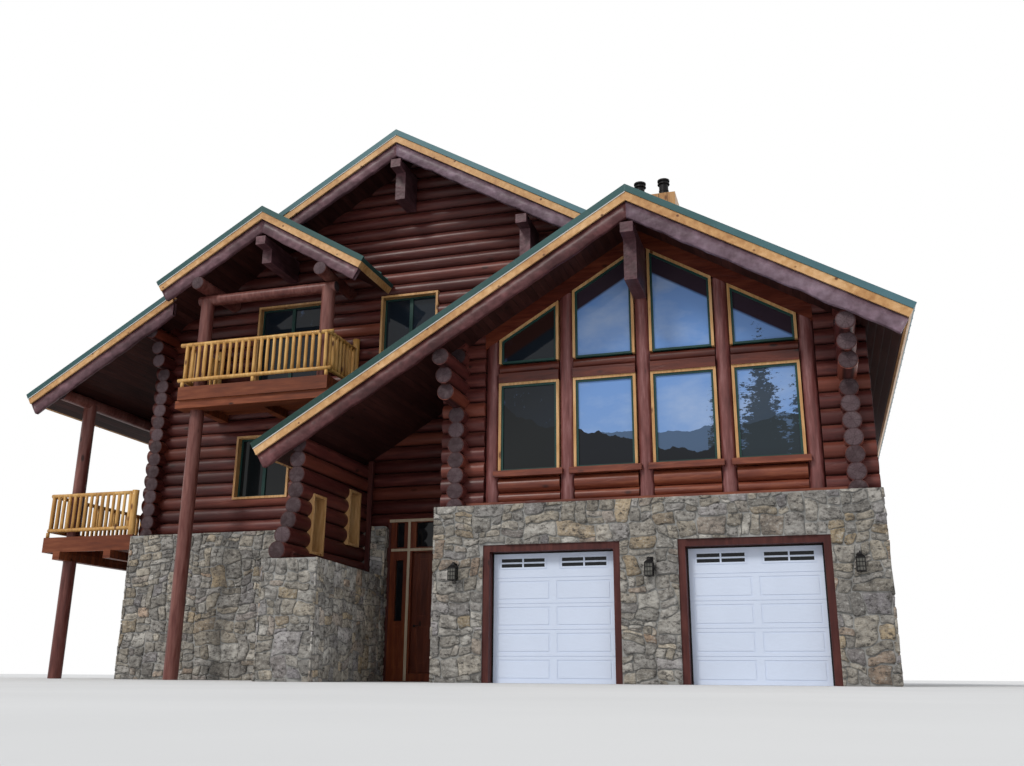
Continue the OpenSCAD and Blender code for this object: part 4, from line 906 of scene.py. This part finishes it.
def porch_base():
    """The porch wall's stone base, whose stones end in the plane of the solid's faces."""
    lo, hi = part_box("porch_stone_base")
    corners = [Vector((lo.x, lo.y, 0)), Vector((lo.x + PORCH_BASE_IN, lo.y, 0)),
               Vector((low("entry_frame").x, hi.y, 0)), Vector((lo.x, hi.y, 0))]
    centre = sum(corners, Vector()) / 4
    inner = [p + Vector((PORCH_PROUD if p.x < centre.x else -PORCH_PROUD,
                         PORCH_PROUD if p.y < centre.y else 0, 0)) for p in corners]
    core = Mesh()
    core.add(inner + [p + UP * hi.z for p in inner], caps(4, 2) + skin(4, 2))
    made = core.piece("porch_base_core", "mortar", "fieldstone", smooth=False)
    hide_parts("porch_stone_base")
    stones = Mesh()
    # The face towards the entry gets painted light
    faces = ((3, 0, WRAP_END, 21, 0.0), (0, 1, WRAP_BOTH, 22, 0.0), (1, 2, WRAP_START, 23, PORCH_PAINTED_LIGHT))
    for start, end, wrap, seed, pale in faces:
        stone_face(stones, inner[start], inner[end], hi.z, wrap, seed, proud=PORCH_PROUD, pale=pale)
    stones.piece("stones_porch_base", "stone", "fieldstone")


# Log ends
DISC_SIDES = 28
DISC_PROUD = 0.008
DISC_RINGS = ((1.0, -0.004), (0.985, DISC_PROUD * 0.6), (0.94, DISC_PROUD))
DISC_R = LOG_R - 0.004
THIN_DISC = 0.003
LEAST_ROOM = 0.05


def disc(mesh, centre, normal, radius, rng, limits=()):
    """One log's end: a thin cap with a broken edge, cut to its course and to the roof."""
    side = UP.cross(normal)
    up = normal.cross(side)
    polygon = circle([radius * (1 - rng.uniform(0.0, 0.02)) for _ in range(DISC_SIDES)])
    for limit in limits:
        polygon = clip(polygon, *limit)
        if len(polygon) < 3:
            return
    spots = [(u * share, v * share, h) for share, h in DISC_RINGS for u, v in polygon]
    spots.append((*middle(polygon), DISC_PROUD))
    points = [centre + side * u + up * v + normal * h for u, v, h in spots]
    turn = rng.uniform(0, 6.28)
    flat = [(math.cos(turn) * u - math.sin(turn) * v, math.sin(turn) * u + math.cos(turn) * v)
            for u, v, h in spots]
    rings = len(DISC_RINGS)
    mesh.add(points, skin(len(polygon), rings) + fan(len(polygon), rings), (rng.random(),) * 3, flat)


def under_roof(x):
    """The height of the roof's underside over a place across the front."""
    return min(left_top(x), right_top(x)) - DECK_V


WING_CORBELS = [WING_WALL_Y - d for d in (1.4, 1.17, 1.05)]
FRONT_CORBELS = [MAIN_WALL_Y - d for d in (1.05, 0.75, 0.65)]
BACK_CORBELS = [BACK_WALL_Y + d for d in (1.05, 0.75, 0.65)]
CORNERS = [
    (LEFT_WALL_X, MAIN_WALL_Y, -1, -1, FRONT_CORBELS, 16),
    (LEFT_WALL_X, BACK_WALL_Y, -1, 1, BACK_CORBELS, 16),
    (WING_HALF, BACK_WALL_Y, 1, 1, BACK_CORBELS, 9),
    (WING_HALF, WING_WALL_Y, 1, -1, WING_CORBELS, 9),
    (-WING_HALF, WING_WALL_Y, -1, -1, WING_CORBELS, 9),
]


def corner_ends():
    """The logs of each wall run past the corner, the upper ones of the gable walls as corbels."""
    rng = random.Random(5)
    ends = Mesh()
    half = COURSE / 2
    for cx, cy, dx, dy, corbels, top_course in CORNERS:
        roof = wing_left_top(cx) - DECK_V if cx == -WING_HALF else under_roof(cx)
        tail_roof = roof - PITCH * LOG_TAIL
        k = 0
        while STONE_H + k * COURSE + half < roof + LOG_R:
            z = STONE_H + (k + 0.5) * COURSE
            if z + LEAST_ROOM < tail_roof:
                limits = [(0, 1, min(half, tail_roof - z)), (0, -1, half)]
                disc(ends, at(cx + dx * LOG_TAIL, cy, z), Vector((dx, 0, 0)), DISC_R, rng, limits)
            z = STONE_H + k * COURSE
            index = top_course - k
            end_y = corbels[index] if 0 <= index < len(corbels) else cy + dy * LOG_TAIL
            if roof - z > -LEAST_ROOM:
                limits = [(0, 1, half), (0, -1, half if k else 0.0), (-PITCH * dx * dy, 1, roof - z - 0.004)]
                disc(ends, at(cx, end_y, z), Vector((0, dy, 0)), DISC_R, rng, limits)
            k += 1
    ends.piece("corner_log_ends", "ends", "logs")


PORCH_ENDS = [-1.51, -1.34, -1.16, -1.0, -0.95, -0.95, -0.95, -0.95]


def porch_ends():
    rng = random.Random(6)
    ends = Mesh()
    for i, y in enumerate(PORCH_ENDS):
        z = PORCH_STONE_H + (i + 0.5) * COURSE
        room = wing_left_top(PORCH_WALL_X) - DECK_V - z
        if room > LEAST_ROOM:
            limits = [(0, 1, min(COURSE / 2, room)), (0, -1, COURSE / 2)]
            disc(ends, at(PORCH_WALL_X, y, z), Vector((0, -1, 0)), DISC_R, rng, limits)
    ends.piece("porch_log_ends", "ends", "logs")


TIE_Z = 8.92
TIE_R = 0.13
TIE_PAST = 0.2
PURLIN_Z = 9.21
PURLIN_R = 0.16
BALCONY_POST_Y = 1.15
BALCONY_POST_HALF = 1.64
EAVE_LOG_X = -15.08
EAVE_LOG_R = 0.15
EAVE_LOG_IN = 0.24


def round_ends():
    """The ends of single round timbers: the balcony's tie and purlins and the deck's eave log."""
    rng = random.Random(7)
    ends = Mesh()
    for side in (-1, 1):
        disc(ends, at(BALCONY_RIDGE_X + side * (BALCONY_POST_HALF + TIE_PAST), BALCONY_POST_Y, TIE_Z),
             Vector((side, 0, 0)), TIE_R - THIN_DISC, rng)
        disc(ends, at(BALCONY_RIDGE_X + side * BALCONY_POST_HALF, BALCONY_BARGE_Y + FASCIA_T, PURLIN_Z),
             Vector((0, -1, 0)), PURLIN_R - THIN_DISC, rng)
    eave_z = left_top(EAVE_LOG_X) - DECK_V - EAVE_LOG_R * math.sqrt(1 + PITCH * PITCH)
    for y, way in ((MAIN_BARGE_Y + EAVE_LOG_IN, -1), (BACK_BARGE_Y - EAVE_LOG_IN, 1)):
        disc(ends, at(EAVE_LOG_X, y, eave_z), Vector((0, way, 0)), EAVE_LOG_R - THIN_DISC, rng)
    ends.piece("round_timber_ends", "ends", "logs")


# Roof
SHEET_H = 0.112
RIB_H = METAL_V - 0.002
SEAM_PITCH = 0.42
SEAM_W = 0.03
RAKE_W = 0.05
RAKE_OUT = 0.002
VALLEY_LAP = 0.2
CAP_HALF = 0.17
CAP_FOLD = 0.014
# How much painted sky reflection each slope's roofing takes
SKY_REFLECTION_TINT = {left_top: 0.5, right_top: 1.0, wing_left_top: 0.0, balcony_right_top: 0.3}


def slope_box(mesh, x0, x1, top, y0, y1, lo, hi):
    """A slab between two heights over the roof line, cut square at its eave end x0."""
    way = 1 if x1 > x0 else -1
    corners = []
    for y in (y0, y1):
        for x, skew in ((x0, way), (x1, 0)):
            for h in (lo, hi):
                edge = x - skew * square_in(h)
                corners.append(at(edge, y, top(edge) + h))
    faces = [(0, 1, 3, 2), (4, 6, 7, 5), (0, 4, 5, 1), (2, 3, 7, 6), (1, 5, 7, 3), (0, 2, 6, 4)]
    mesh.add(corners, faces, (SKY_REFLECTION_TINT[top],) * 3)


def front_rake(mesh, x0, x1, top, y):
    slope_box(mesh, x0, x1, top, y - RAKE_OUT, y + RAKE_W, 0.001, RIB_H)


def sheeting(mesh, x0, x1, top, y0, y1, rakes=(True, True)):
    """Standing seam roofing on one slope, with rake trims along its barges; x1 is its upper end."""
    slope_box(mesh, x0, x1, top, y0, y1, 0.002, SHEET_H)
    if rakes[0]:
        front_rake(mesh, x0, x1, top, y0)
    if rakes[1]:
        slope_box(mesh, x0, x1, top, y1 - RAKE_W, y1, 0.001, RIB_H)
    count = max(1, round((y1 - y0) / SEAM_PITCH))
    for k in range(1, count):
        y = y0 + k * (y1 - y0) / count
        slope_box(mesh, x0, x1, top, y, y + SEAM_W, SHEET_H - 0.002, RIB_H)


def roofing():
    main0, main1 = MAIN_BARGE_Y - LIP, BACK_BARGE_Y + LIP
    front, wing0 = BALCONY_BARGE_Y - LIP, WING_BARGE_Y - LIP
    metal = Mesh()
    sheeting(metal, LEFT_EAVE_X, MAIN_RIDGE_X, left_top, main0, main1)
    sheeting(metal, RIGHT_EAVE_X, MAIN_RIDGE_X, right_top, main0, main1, (False, True))
    front_rake(metal, VALLEY_LAP, MAIN_RIDGE_X, right_top, main0)
    sheeting(metal, BALCONY_LEFT_X, BALCONY_RIDGE_X, left_top, front, main0, (True, False))
    sheeting(metal, RIGHT_EAVE_X, 0, right_top, wing0, main0, (True, False))
    sheeting(metal, WING_EAVE_X, 0, wing_left_top, wing0, main0, (True, False))
    sheeting(metal, WING_EAVE_X, -VALLEY_LAP, wing_left_top, main0, MAIN_FACE_Y, (False, False))
    sheeting(metal, BALCONY_RIGHT_X, BALCONY_RIDGE_X, balcony_right_top, front, main0, (True, False))
    sheeting(metal, BALCONY_RIGHT_X, BALCONY_RIDGE_X + VALLEY_LAP, balcony_right_top, main0, MAIN_FACE_Y,
             (False, False))
    ridge_caps(metal)
    made = metal.piece("standing_seam_roofing", "metal", "roof_metal", bevel=0.004, smooth=False)
    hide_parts("roof_metal")


def ridge_caps(mesh):
    """Folded flashing along each ridge."""
    up = METAL_V - 0.001
    low_up = -PITCH * CAP_HALF + up
    outline = [(-CAP_HALF, low_up - CAP_FOLD), (-CAP_HALF, low_up), (0, up),
               (CAP_HALF, low_up), (CAP_HALF, low_up - CAP_FOLD), (0, up - CAP_FOLD)]
    count = len(outline)
    faces = flipped(caps(count, 2)) + [(i, i + count, j + count, j) for i, j in around(count)]
    for x, z, y0, y1 in ((MAIN_RIDGE_X, MAIN_RIDGE_Z, MAIN_BARGE_Y - LIP, BACK_BARGE_Y + LIP),
                         (0, WING_RIDGE_Z, WING_BARGE_Y - LIP, MAIN_BARGE_Y + 0.4),
                         (BALCONY_RIDGE_X, BALCONY_RIDGE_Z, BALCONY_BARGE_Y - LIP, MAIN_BARGE_Y)):
        mesh.add([at(x + dx, y, z + dz) for y in (y0 - 0.004, y1) for dx, dz in outline], faces)


def barges():
    """Each barge: lower end, upper end, roof line, front plane, the way back, and if it has an eave."""
    hidden = 0.4
    return [
        (LEFT_EAVE_X, BALCONY_LEFT_X, left_top, MAIN_BARGE_Y, 1, True),
        (BALCONY_LEFT_X, BALCONY_RIDGE_X, left_top, BALCONY_BARGE_Y, 1, True),
        (BALCONY_RIGHT_X, BALCONY_RIDGE_X, balcony_right_top, BALCONY_BARGE_Y, 1, True),
        (BALCONY_RIDGE_X + hidden, MAIN_RIDGE_X, left_top, MAIN_BARGE_Y, 1, False),
        (-hidden, MAIN_RIDGE_X, right_top, MAIN_BARGE_Y, 1, False),
        (WING_EAVE_X, 0, wing_left_top, WING_BARGE_Y, 1, True),
        (RIGHT_EAVE_X, 0, right_top, WING_BARGE_Y, 1, True),
        (LEFT_EAVE_X, MAIN_RIDGE_X, left_top, BACK_BARGE_Y, -1, True),
        (RIGHT_EAVE_X, MAIN_RIDGE_X, right_top, BACK_BARGE_Y, -1, True),
    ]


HEWN_STEP = 0.08
BARGE_CAST = {left_top: 0.35, right_top: 1.0, wing_left_top: 0.0, balcony_right_top: 0.4}


def adzed_ring(x, y0, y1, seed):
    """The rafter's outline at one place, as distances back and depths under the roof."""
    wave = noise.noise(Vector((x * 2.3, seed, 0.0))) * 0.03 + noise.noise(Vector((x * 6, seed, 4.0))) * 0.014
    dent = noise.noise(Vector((x * 5, seed, 9.0))) * 0.009
    depth = DECK_V + min(RAFTER_V - 0.002, RAFTER_V - 0.028 - wave)
    upper = DECK_V + 0.002
    front, back = y0 + 0.009 + dent, y1 - 0.002
    return [(front, upper), (front + dent, (upper + depth) / 2), (front + 0.004, depth - 0.02),
            (front + 0.022, depth), (back - 0.02, depth - 0.004), (back, depth - 0.022), (back, upper)]


def hewn_rafter(mesh, x0, x1, top, y0, y1, eave, seed):
    """A barge rafter with a straight upper edge, a wavy adzed lower one and a square cut at its eave."""
    steps = max(4, round(abs(x1 - x0) / HEWN_STEP))
    way = 1 if x1 > x0 else -1
    points = []
    for i in range(steps + 1):
        t = i / steps
        x = x0 + (x1 - x0) * t
        ring = adzed_ring(x, y0, y1, seed)
        for y, v in ring:
            edge = x + eave * way * square_in(v) * (1 - t)
            points.append(at(edge, y, top(edge) - v))
    faces = skin(len(ring), steps + 1) + flipped(caps(len(ring), steps + 1))
    mesh.add(points, flipped(faces) if way > 0 else faces, (BARGE_CAST[top],) * 3)


def rafters():
    timber = Mesh()
    for number, (x0, x1, top, y, way, eave) in enumerate(barges()):
        front = y + FASCIA_T if way > 0 else y - FASCIA_T - RAFTER_T
        back = y + FASCIA_T + RAFTER_T if way > 0 else y - FASCIA_T
        hewn_rafter(timber, x0, x1, top, front, back, eave, number * 17.0 + 3)
    made = timber.piece("hewn_barge_rafters", "barge", "hewn_timber", smooth=True)
    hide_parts("barge_rafters")


def drip_edges():
    """The pale drip line that shows under the metal on the left-facing barges."""
    edge = Mesh()
    for x0, x1, top, y, way, _ in barges():
        if way > 0 and top in (left_top, wing_left_top):
            slope_box(edge, x0, x1, top, y - 0.016, y - 0.002, -0.018, 0.002)
    edge.piece("drip_edges", "drip", "roof_metal", smooth=False)


# Railings
def stick(mesh, start, end, radius, rng, sides, rings, uneven):
    """A peeled pole that swells and bends a little."""
    axis = (end - start).normalized()
    side = axis.orthogonal().normalized()
    other = axis.cross(side)
    bend = side * rng.uniform(-1, 1) + other * rng.uniform(-1, 1)
    most = min(0.006, (end - start).length * 0.004)
    points = []
    for r in range(rings):
        t = r / (rings - 1)
        centre = start.lerp(end, t) + bend * (math.sin(math.pi * t) * most)
        size = radius * (1 + rng.uniform(-uneven, uneven * 0.3))
        ring = circle([size * (1 + rng.uniform(-0.03, 0.0)) for _ in range(sides)])
        points.extend(centre + side * u + other * v for u, v in ring)
    mesh.add(points, skin(sides, rings) + caps(sides, rings))


RAIL_H = 1.06
RAIL_LOW = 0.18
RAIL_R = 0.05
BALUSTER_R = 0.0425
BALUSTER_PITCH = 0.165
RAIL_IN = 0.06
NEWEL_R = 0.085
NEWEL_UP = 1.33
FOOT_R = 0.045


def rail_run(mesh, start, end, rng, out=0.0):
    along = (end - start).normalized()
    run = (end - start).length
    for h in (RAIL_LOW, RAIL_H):
        stick(mesh, start - along * out + UP * h, end + along * out + UP * h, RAIL_R, rng, 14,
              max(6, round(run / 0.35)), 0.08)
    count = math.floor(run / BALUSTER_PITCH)
    for k in range(count + 1):
        foot = start + along * (RAIL_R + k * (run - 2 * RAIL_R) / count)
        radius = BALUSTER_R * rng.uniform(0.92, 1.12)
        stick(mesh, foot + UP * RAIL_LOW, foot + UP * RAIL_H, radius, rng, 9, 5, 0.07)


def newel(mesh, x, y, z, rng, up=NEWEL_UP):
    stick(mesh, at(x, y, z), at(x, y, z + up), NEWEL_R, rng, 18, 8, 0.05)


def foot(mesh, x, y, z, rng):
    stick(mesh, at(x, y, z), at(x, y, z + RAIL_LOW - RAIL_R), FOOT_R, rng, 10, 3, 0.03)


BALCONY_Z = 6.62
BALCONY_HALF_W = 1.95
BALCONY_FRONT_Y = 0.75


def balcony_railing():
    rng = random.Random(8)
    rail = Mesh()
    x0, x1 = BALCONY_RIDGE_X - BALCONY_HALF_W + RAIL_IN, BALCONY_RIDGE_X + BALCONY_HALF_W - RAIL_IN
    y0, y1 = BALCONY_FRONT_Y + RAIL_IN, MAIN_FACE_Y - NEWEL_R
    rail_run(rail, at(x0, y0, BALCONY_Z), at(x1, y0, BALCONY_Z), rng, 0.12)
    for x in (x0, x1):
        rail_run(rail, at(x, y0 + RAIL_R, BALCONY_Z), at(x, y1 - NEWEL_R, BALCONY_Z), rng)
        newel(rail, x, y1, BALCONY_Z, rng)
        foot(rail, x, y0, BALCONY_Z, rng)
    foot(rail, BALCONY_RIDGE_X, y0, BALCONY_Z, rng)
    made = rail.piece("balcony_log_railing", "rail", "pine")
    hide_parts("balcony_railing")


VERANDA_Z = 3.4
VERANDA_EDGE_X = -15.63


def veranda_railing():
    rng = random.Random(9)
    rail = Mesh()
    x0 = VERANDA_EDGE_X + RAIL_IN
    x1 = LEFT_WALL_X - LOG_TAIL - NEWEL_R
    y0, y1 = MAIN_WALL_Y - LOG_TAIL + RAIL_IN, BACK_WALL_Y + LOG_TAIL - RAIL_IN
    for y in (y0, y1):
        rail_run(rail, at(x0, y, VERANDA_Z), at(x1 - NEWEL_R, y, VERANDA_Z), rng)
        newel(rail, x1, y, VERANDA_Z, rng, RAIL_H + RAIL_R)
        foot(rail, x0, y, VERANDA_Z, rng)
    rail_run(rail, at(x0, y0 + RAIL_R, VERANDA_Z), at(x0, y1 - RAIL_R, VERANDA_Z), rng)
    for k in (1, 2):
        foot(rail, x0, y0 + k * (y1 - y0) / 3, VERANDA_Z, rng)
    made = rail.piece("deck_log_railing", "rail", "pine")
    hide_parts("veranda_railing")


# Small parts
def turned(mesh, x, y, base, profile, sides=28):
    """A round body from a list of radii and heights over its base."""
    points = [at(x + u, y + v, base + z) for r, z in profile for u, v in circle([r] * sides)]
    mesh.add(points, caps(sides, len(profile)) + skin(sides, len(profile)))


FLUE_XS = (-0.38, 0.19)
FLUE_Y = 3.1
FLUE_R = 0.11
CAP_R = 0.145
COLLAR = [(CAP_R, 0.002), (CAP_R, 0.015), (FLUE_R, 0.075)]
FLUE_RING = [(FLUE_R + 0.008, 0.22), (FLUE_R + 0.008, 0.25)]
FLUE_CAP = [(CAP_R - 0.012, -0.15), (CAP_R, -0.145), (CAP_R, -0.13), (CAP_R - 0.03, -0.125),
            (CAP_R - 0.03, -0.07), (CAP_R, -0.065), (CAP_R, -0.03), (CAP_R * 0.6, -0.002)]


def flues():
    """Steel flues with a collar at the foot and a vented cap."""
    foot, top = low("flue_pipes").z, high("flue_pipes").z
    pipes = Mesh()
    for x in FLUE_XS:
        turned(pipes, x, FLUE_Y, foot, [(FLUE_R, 0), (FLUE_R, top - 0.15 - foot)])
        turned(pipes, x, FLUE_Y, foot, COLLAR)
        turned(pipes, x, FLUE_Y, foot, FLUE_RING)
        turned(pipes, x, FLUE_Y, top, FLUE_CAP)
    made = pipes.piece("steel_flues", "black", "black_metal", smooth=False)
    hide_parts("flue_pipes")


LANTERN_XS = (-3.76, 0.065, 3.735)
LANTERN_Z = 1.88
LANTERN_OUT = 0.15
LANTERN_HALF = 0.08
BAR = 0.007
CAGE_BAR = 0.004
HOOP = 0.005
HOOPS_UP = (0.1, 0.18, 0.245)
CAGE_Z = (0.03, 0.25)
LANTERN_PLATES = (
    (0.06, -0.02, 0.0, 0.06, 0.38), (0.045, -0.03, -0.02, 0.09, 0.35),
    (0.012, -LANTERN_OUT - 0.012, -0.02, 0.345, 0.368), (0.01, -0.09, -0.02, 0.14, 0.16),
    (LANTERN_HALF, -LANTERN_OUT - LANTERN_HALF, -LANTERN_OUT + LANTERN_HALF, 0.012, 0.03))
LANTERN_TIP = [(0.006, 0), (0.02, 0.004), (0.03, 0.012)]
LANTERN_ROOF = ((LANTERN_HALF, 0.25), (LANTERN_HALF, 0.262), (0.028, 0.315), (0.02, 0.345))


def lantern(metal, panes, x):
    y, z, half = -LANTERN_OUT, LANTERN_Z, LANTERN_HALF
    foot, head = z + CAGE_Z[0], z + CAGE_Z[1]
    edge = half - BAR

    def bar(dx, dy, wide_x, wide_y, z0, z1):
        metal.box(x + dx - wide_x, x + dx + wide_x, y + dy - wide_y, y + dy + wide_y, z0, z1)

    for wide, y0, y1, z0, z1 in LANTERN_PLATES:
        metal.box(x - wide, x + wide, y0, y1, z + z0, z + z1)
    turned(metal, x, y, z, LANTERN_TIP, 12)
    for dx in (-edge, edge):
        for dy in (-edge, edge):
            bar(dx, dy, BAR, BAR, foot, head)
    for side in range(4):
        for offset in (-0.33 * half, 0.33 * half):
            dx, dy = ((offset, edge), (edge, offset), (offset, -edge), (-edge, offset))[side]
            bar(dx, dy, CAGE_BAR, CAGE_BAR, foot, head)
    for h in HOOPS_UP:
        for dx, dy, wx, wy in ((0, edge, half, HOOP), (0, -edge, half, HOOP),
                               (edge, 0, HOOP, half), (-edge, 0, HOOP, half)):
            bar(dx, dy, wx, wy, z + h - HOOP, z + h + HOOP)
    points = [at(x + sx * r, y + sy * r, z + h) for r, h in LANTERN_ROOF
              for sx, sy in ((-1, -1), (1, -1), (1, 1), (-1, 1))]
    metal.add(points, caps(4, len(LANTERN_ROOF)) + skin(4, len(LANTERN_ROOF)))
    inner = half - 2 * BAR - 0.002
    panes.box(x - inner, x + inner, y - inner, y + inner, foot + 0.001, head - 0.001)


def lanterns():
    metal, panes = Mesh(), Mesh()
    for x in LANTERN_XS:
        lantern(metal, panes, x)
    made = metal.piece("wall_lantern_cages", "black", "black_metal", bevel=0.0015, smooth=False)
    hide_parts("wall_lanterns")
    panes.piece("wall_lantern_panes", "smoked", "black_metal", bevel=0.002, smooth=False)


NEAR = 0.001
SEAL_W = 0.028
SEAL_T = 0.012


def seals_and_gap_shade():
    """Black seals at the sides and top of the garage doors; their black also stands in as painted shade for
    the gap round each door.
    """
    seals = Mesh()
    for name in ("garage_door_left", "garage_door_right"):
        lo, hi = seen(name)
        y0, y1 = lo.y - SEAL_T, lo.y - NEAR
        seals.box(lo.x, lo.x + SEAL_W, y0, y1, 0.0, hi.z)
        seals.box(hi.x - SEAL_W, hi.x, y0, y1, 0.0, hi.z)
        seals.box(lo.x + SEAL_W, hi.x - SEAL_W, y0, y1, hi.z - SEAL_W, hi.z)
    seals.piece("garage_seals_and_gap_shade", "rubber_and_gap_shade", "black_metal", bevel=0.003, smooth=False)


STRIP_T = 0.012
STRIP_W = 0.062
STRIP_DOWN = 0.075
OUTER_POST_W = 0.075


def entry_strips():
    """Raw wood strips on the entry frame, and its dark outer post."""
    lo, hi = seen("entry_frame")
    door_lo, door_hi = seen("entry_door")
    back = lo.y - NEAR
    post_x = door_lo.x - 0.096
    head_z = (door_hi.z + 0.012, door_hi.z + 0.07)
    raw = Mesh()
    for x0, x1, z0, z1 in ((post_x, post_x + STRIP_W, 0.02, hi.z - STRIP_DOWN),
                           (lo.x + 0.03, hi.x - 0.02, hi.z - STRIP_DOWN, hi.z - 0.012),
                           (lo.x + 0.09, post_x, *head_z), (post_x + STRIP_W, hi.x - 0.02, *head_z)):
        raw.box(x0, x1, lo.y - STRIP_T, back, z0, z1)
    raw.piece("entry_raw_strips", "raw_wood", "door_wood", bevel=0.002, smooth=False)
    dark = Mesh()
    dark.box(lo.x, lo.x + OUTER_POST_W, lo.y - 0.02, back, 0.0, hi.z - 0.078)
    dark.piece("entry_outer_post", "red_trim", "door_wood", bevel=0.003, smooth=False)


SKIRT_H = 0.12
SKIRT_T = 0.05
SKIRT_BACK = 0.3
SKIRT_SHORT = 0.1


def porch_skirt():
    """The board under the porch wall's lowest log and the upright at the wall's inner end."""
    face_x = seen("porch_logs")[1].x
    stone_y = seen("entry_stone")[0].y
    first_y = seen("porch_stone_base")[0].y + SKIRT_BACK
    last_y = stone_y - SKIRT_SHORT
    foot_z = PORCH_STONE_H
    ledge_z = foot_z + SKIRT_H
    board = Mesh()
    board.box(face_x - 0.02, face_x - 0.02 + SKIRT_T, first_y, last_y, foot_z, ledge_z)
    board.box(face_x - 0.02, face_x + 0.01 + SKIRT_T, first_y, last_y, ledge_z + NEAR, ledge_z + 0.03)
    top = wing_left_top(PORCH_WALL_X) - DECK_V - 0.02
    board.box(face_x - 0.01, face_x + 0.1, last_y + NEAR, stone_y - 0.005, foot_z, top)
    board.piece("porch_skirt_boards", "red_trim", "logs", bevel=0.004, smooth=False)


# Stage
CAMERA_AT = at(2.998, -18.33, 0.106)
CAMERA_PITCH = math.radians(16.628)
CAMERA_YAW = math.radians(17.069)
CAMERA_ROLL = math.radians(0.409)
CAMERA_LENS = 34.64
FLOOR_REACH = 400
FLOOR_Z = -0.002
SKY_LIGHT = (0.93, 0.96, 1.0, 1)
SKY_STRENGTH = 0.75
SUN_STRENGTH = 1.6
SUN_SIZE = math.radians(14)
SUN_LIGHT = (1.0, 0.97, 0.92)
SUN_TURN = (math.radians(48), 0, math.radians(-28))


def camera():
    data = bpy.data.cameras.new("camera")
    data.lens = CAMERA_LENS
    data.sensor_width = 36
    data.clip_end = 500
    made = add_object("camera", data)
    turn = (Matrix.Rotation(CAMERA_YAW, 4, "Z") @ Matrix.Rotation(math.pi / 2 + CAMERA_PITCH, 4, "X")
            @ Matrix.Rotation(CAMERA_ROLL, 4, "Z"))
    made.matrix_world = Matrix.Translation(CAMERA_AT) @ turn
    bpy.context.scene.camera = made


def floor():
    mesh = bpy.data.meshes.new("floor")
    corners = [(x * FLOOR_REACH, y * FLOOR_REACH, FLOOR_Z) for x, y in ((-1, -1), (1, -1), (1, 1), (-1, 1))]
    mesh.from_pydata(corners, [], [(0, 1, 2, 3)])
    mat = Shader("studio_floor", Roughness=0.9)
    mesh.materials.append(mat.finish(mat.ramp(mat.noise(0.4), (0.3, 0.66), (0.7, 0.7))))
    made = add_object("studio_floor", mesh)


def backdrop():
    """Sky light on the object, and white where the camera, gloss or glass looks past it."""
    world = bpy.data.worlds.new("studio")
    bpy.context.scene.world = world
    world.use_nodes = True
    tree = world.node_tree
    link = tree.links.new
    sky, white = tree.nodes["Background"], tree.nodes.new("ShaderNodeBackground")
    for made, tone, strength in ((sky, SKY_LIGHT, SKY_STRENGTH), (white, (1, 1, 1, 1), 1.0)):
        made.inputs["Color"].default_value = tone
        made.inputs["Strength"].default_value = strength
    path = tree.nodes.new("ShaderNodeLightPath")
    shows = path.outputs["Is Camera Ray"]
    for name in ("Is Glossy Ray", "Is Transmission Ray"):
        total = tree.nodes.new("ShaderNodeMath")
        total.operation = "ADD"
        total.use_clamp = True
        link(shows, total.inputs[0])
        link(path.outputs[name], total.inputs[1])
        shows = total.outputs[0]
    mix = tree.nodes.new("ShaderNodeMixShader")
    for source, target in zip((shows, sky.outputs[0], white.outputs[0]), mix.inputs):
        link(source, target)
    link(mix.outputs[0], tree.nodes["World Output"].inputs["Surface"])


def sun():
    data = bpy.data.lights.new("sun", "SUN")
    data.energy = SUN_STRENGTH
    data.angle = SUN_SIZE
    data.color = SUN_LIGHT
    add_object("sun", data).rotation_euler = SUN_TURN


dress_nodes()
fieldstone()
porch_base()
corner_ends()
porch_ends()
round_ends()
roofing()
rafters()
drip_edges()
balcony_railing()
veranda_railing()
flues()
lanterns()
seals_and_gap_shade()
entry_strips()
porch_skirt()
camera()
floor()
backdrop()
sun()
bpy.context.scene.view_settings.view_transform = "Standard"
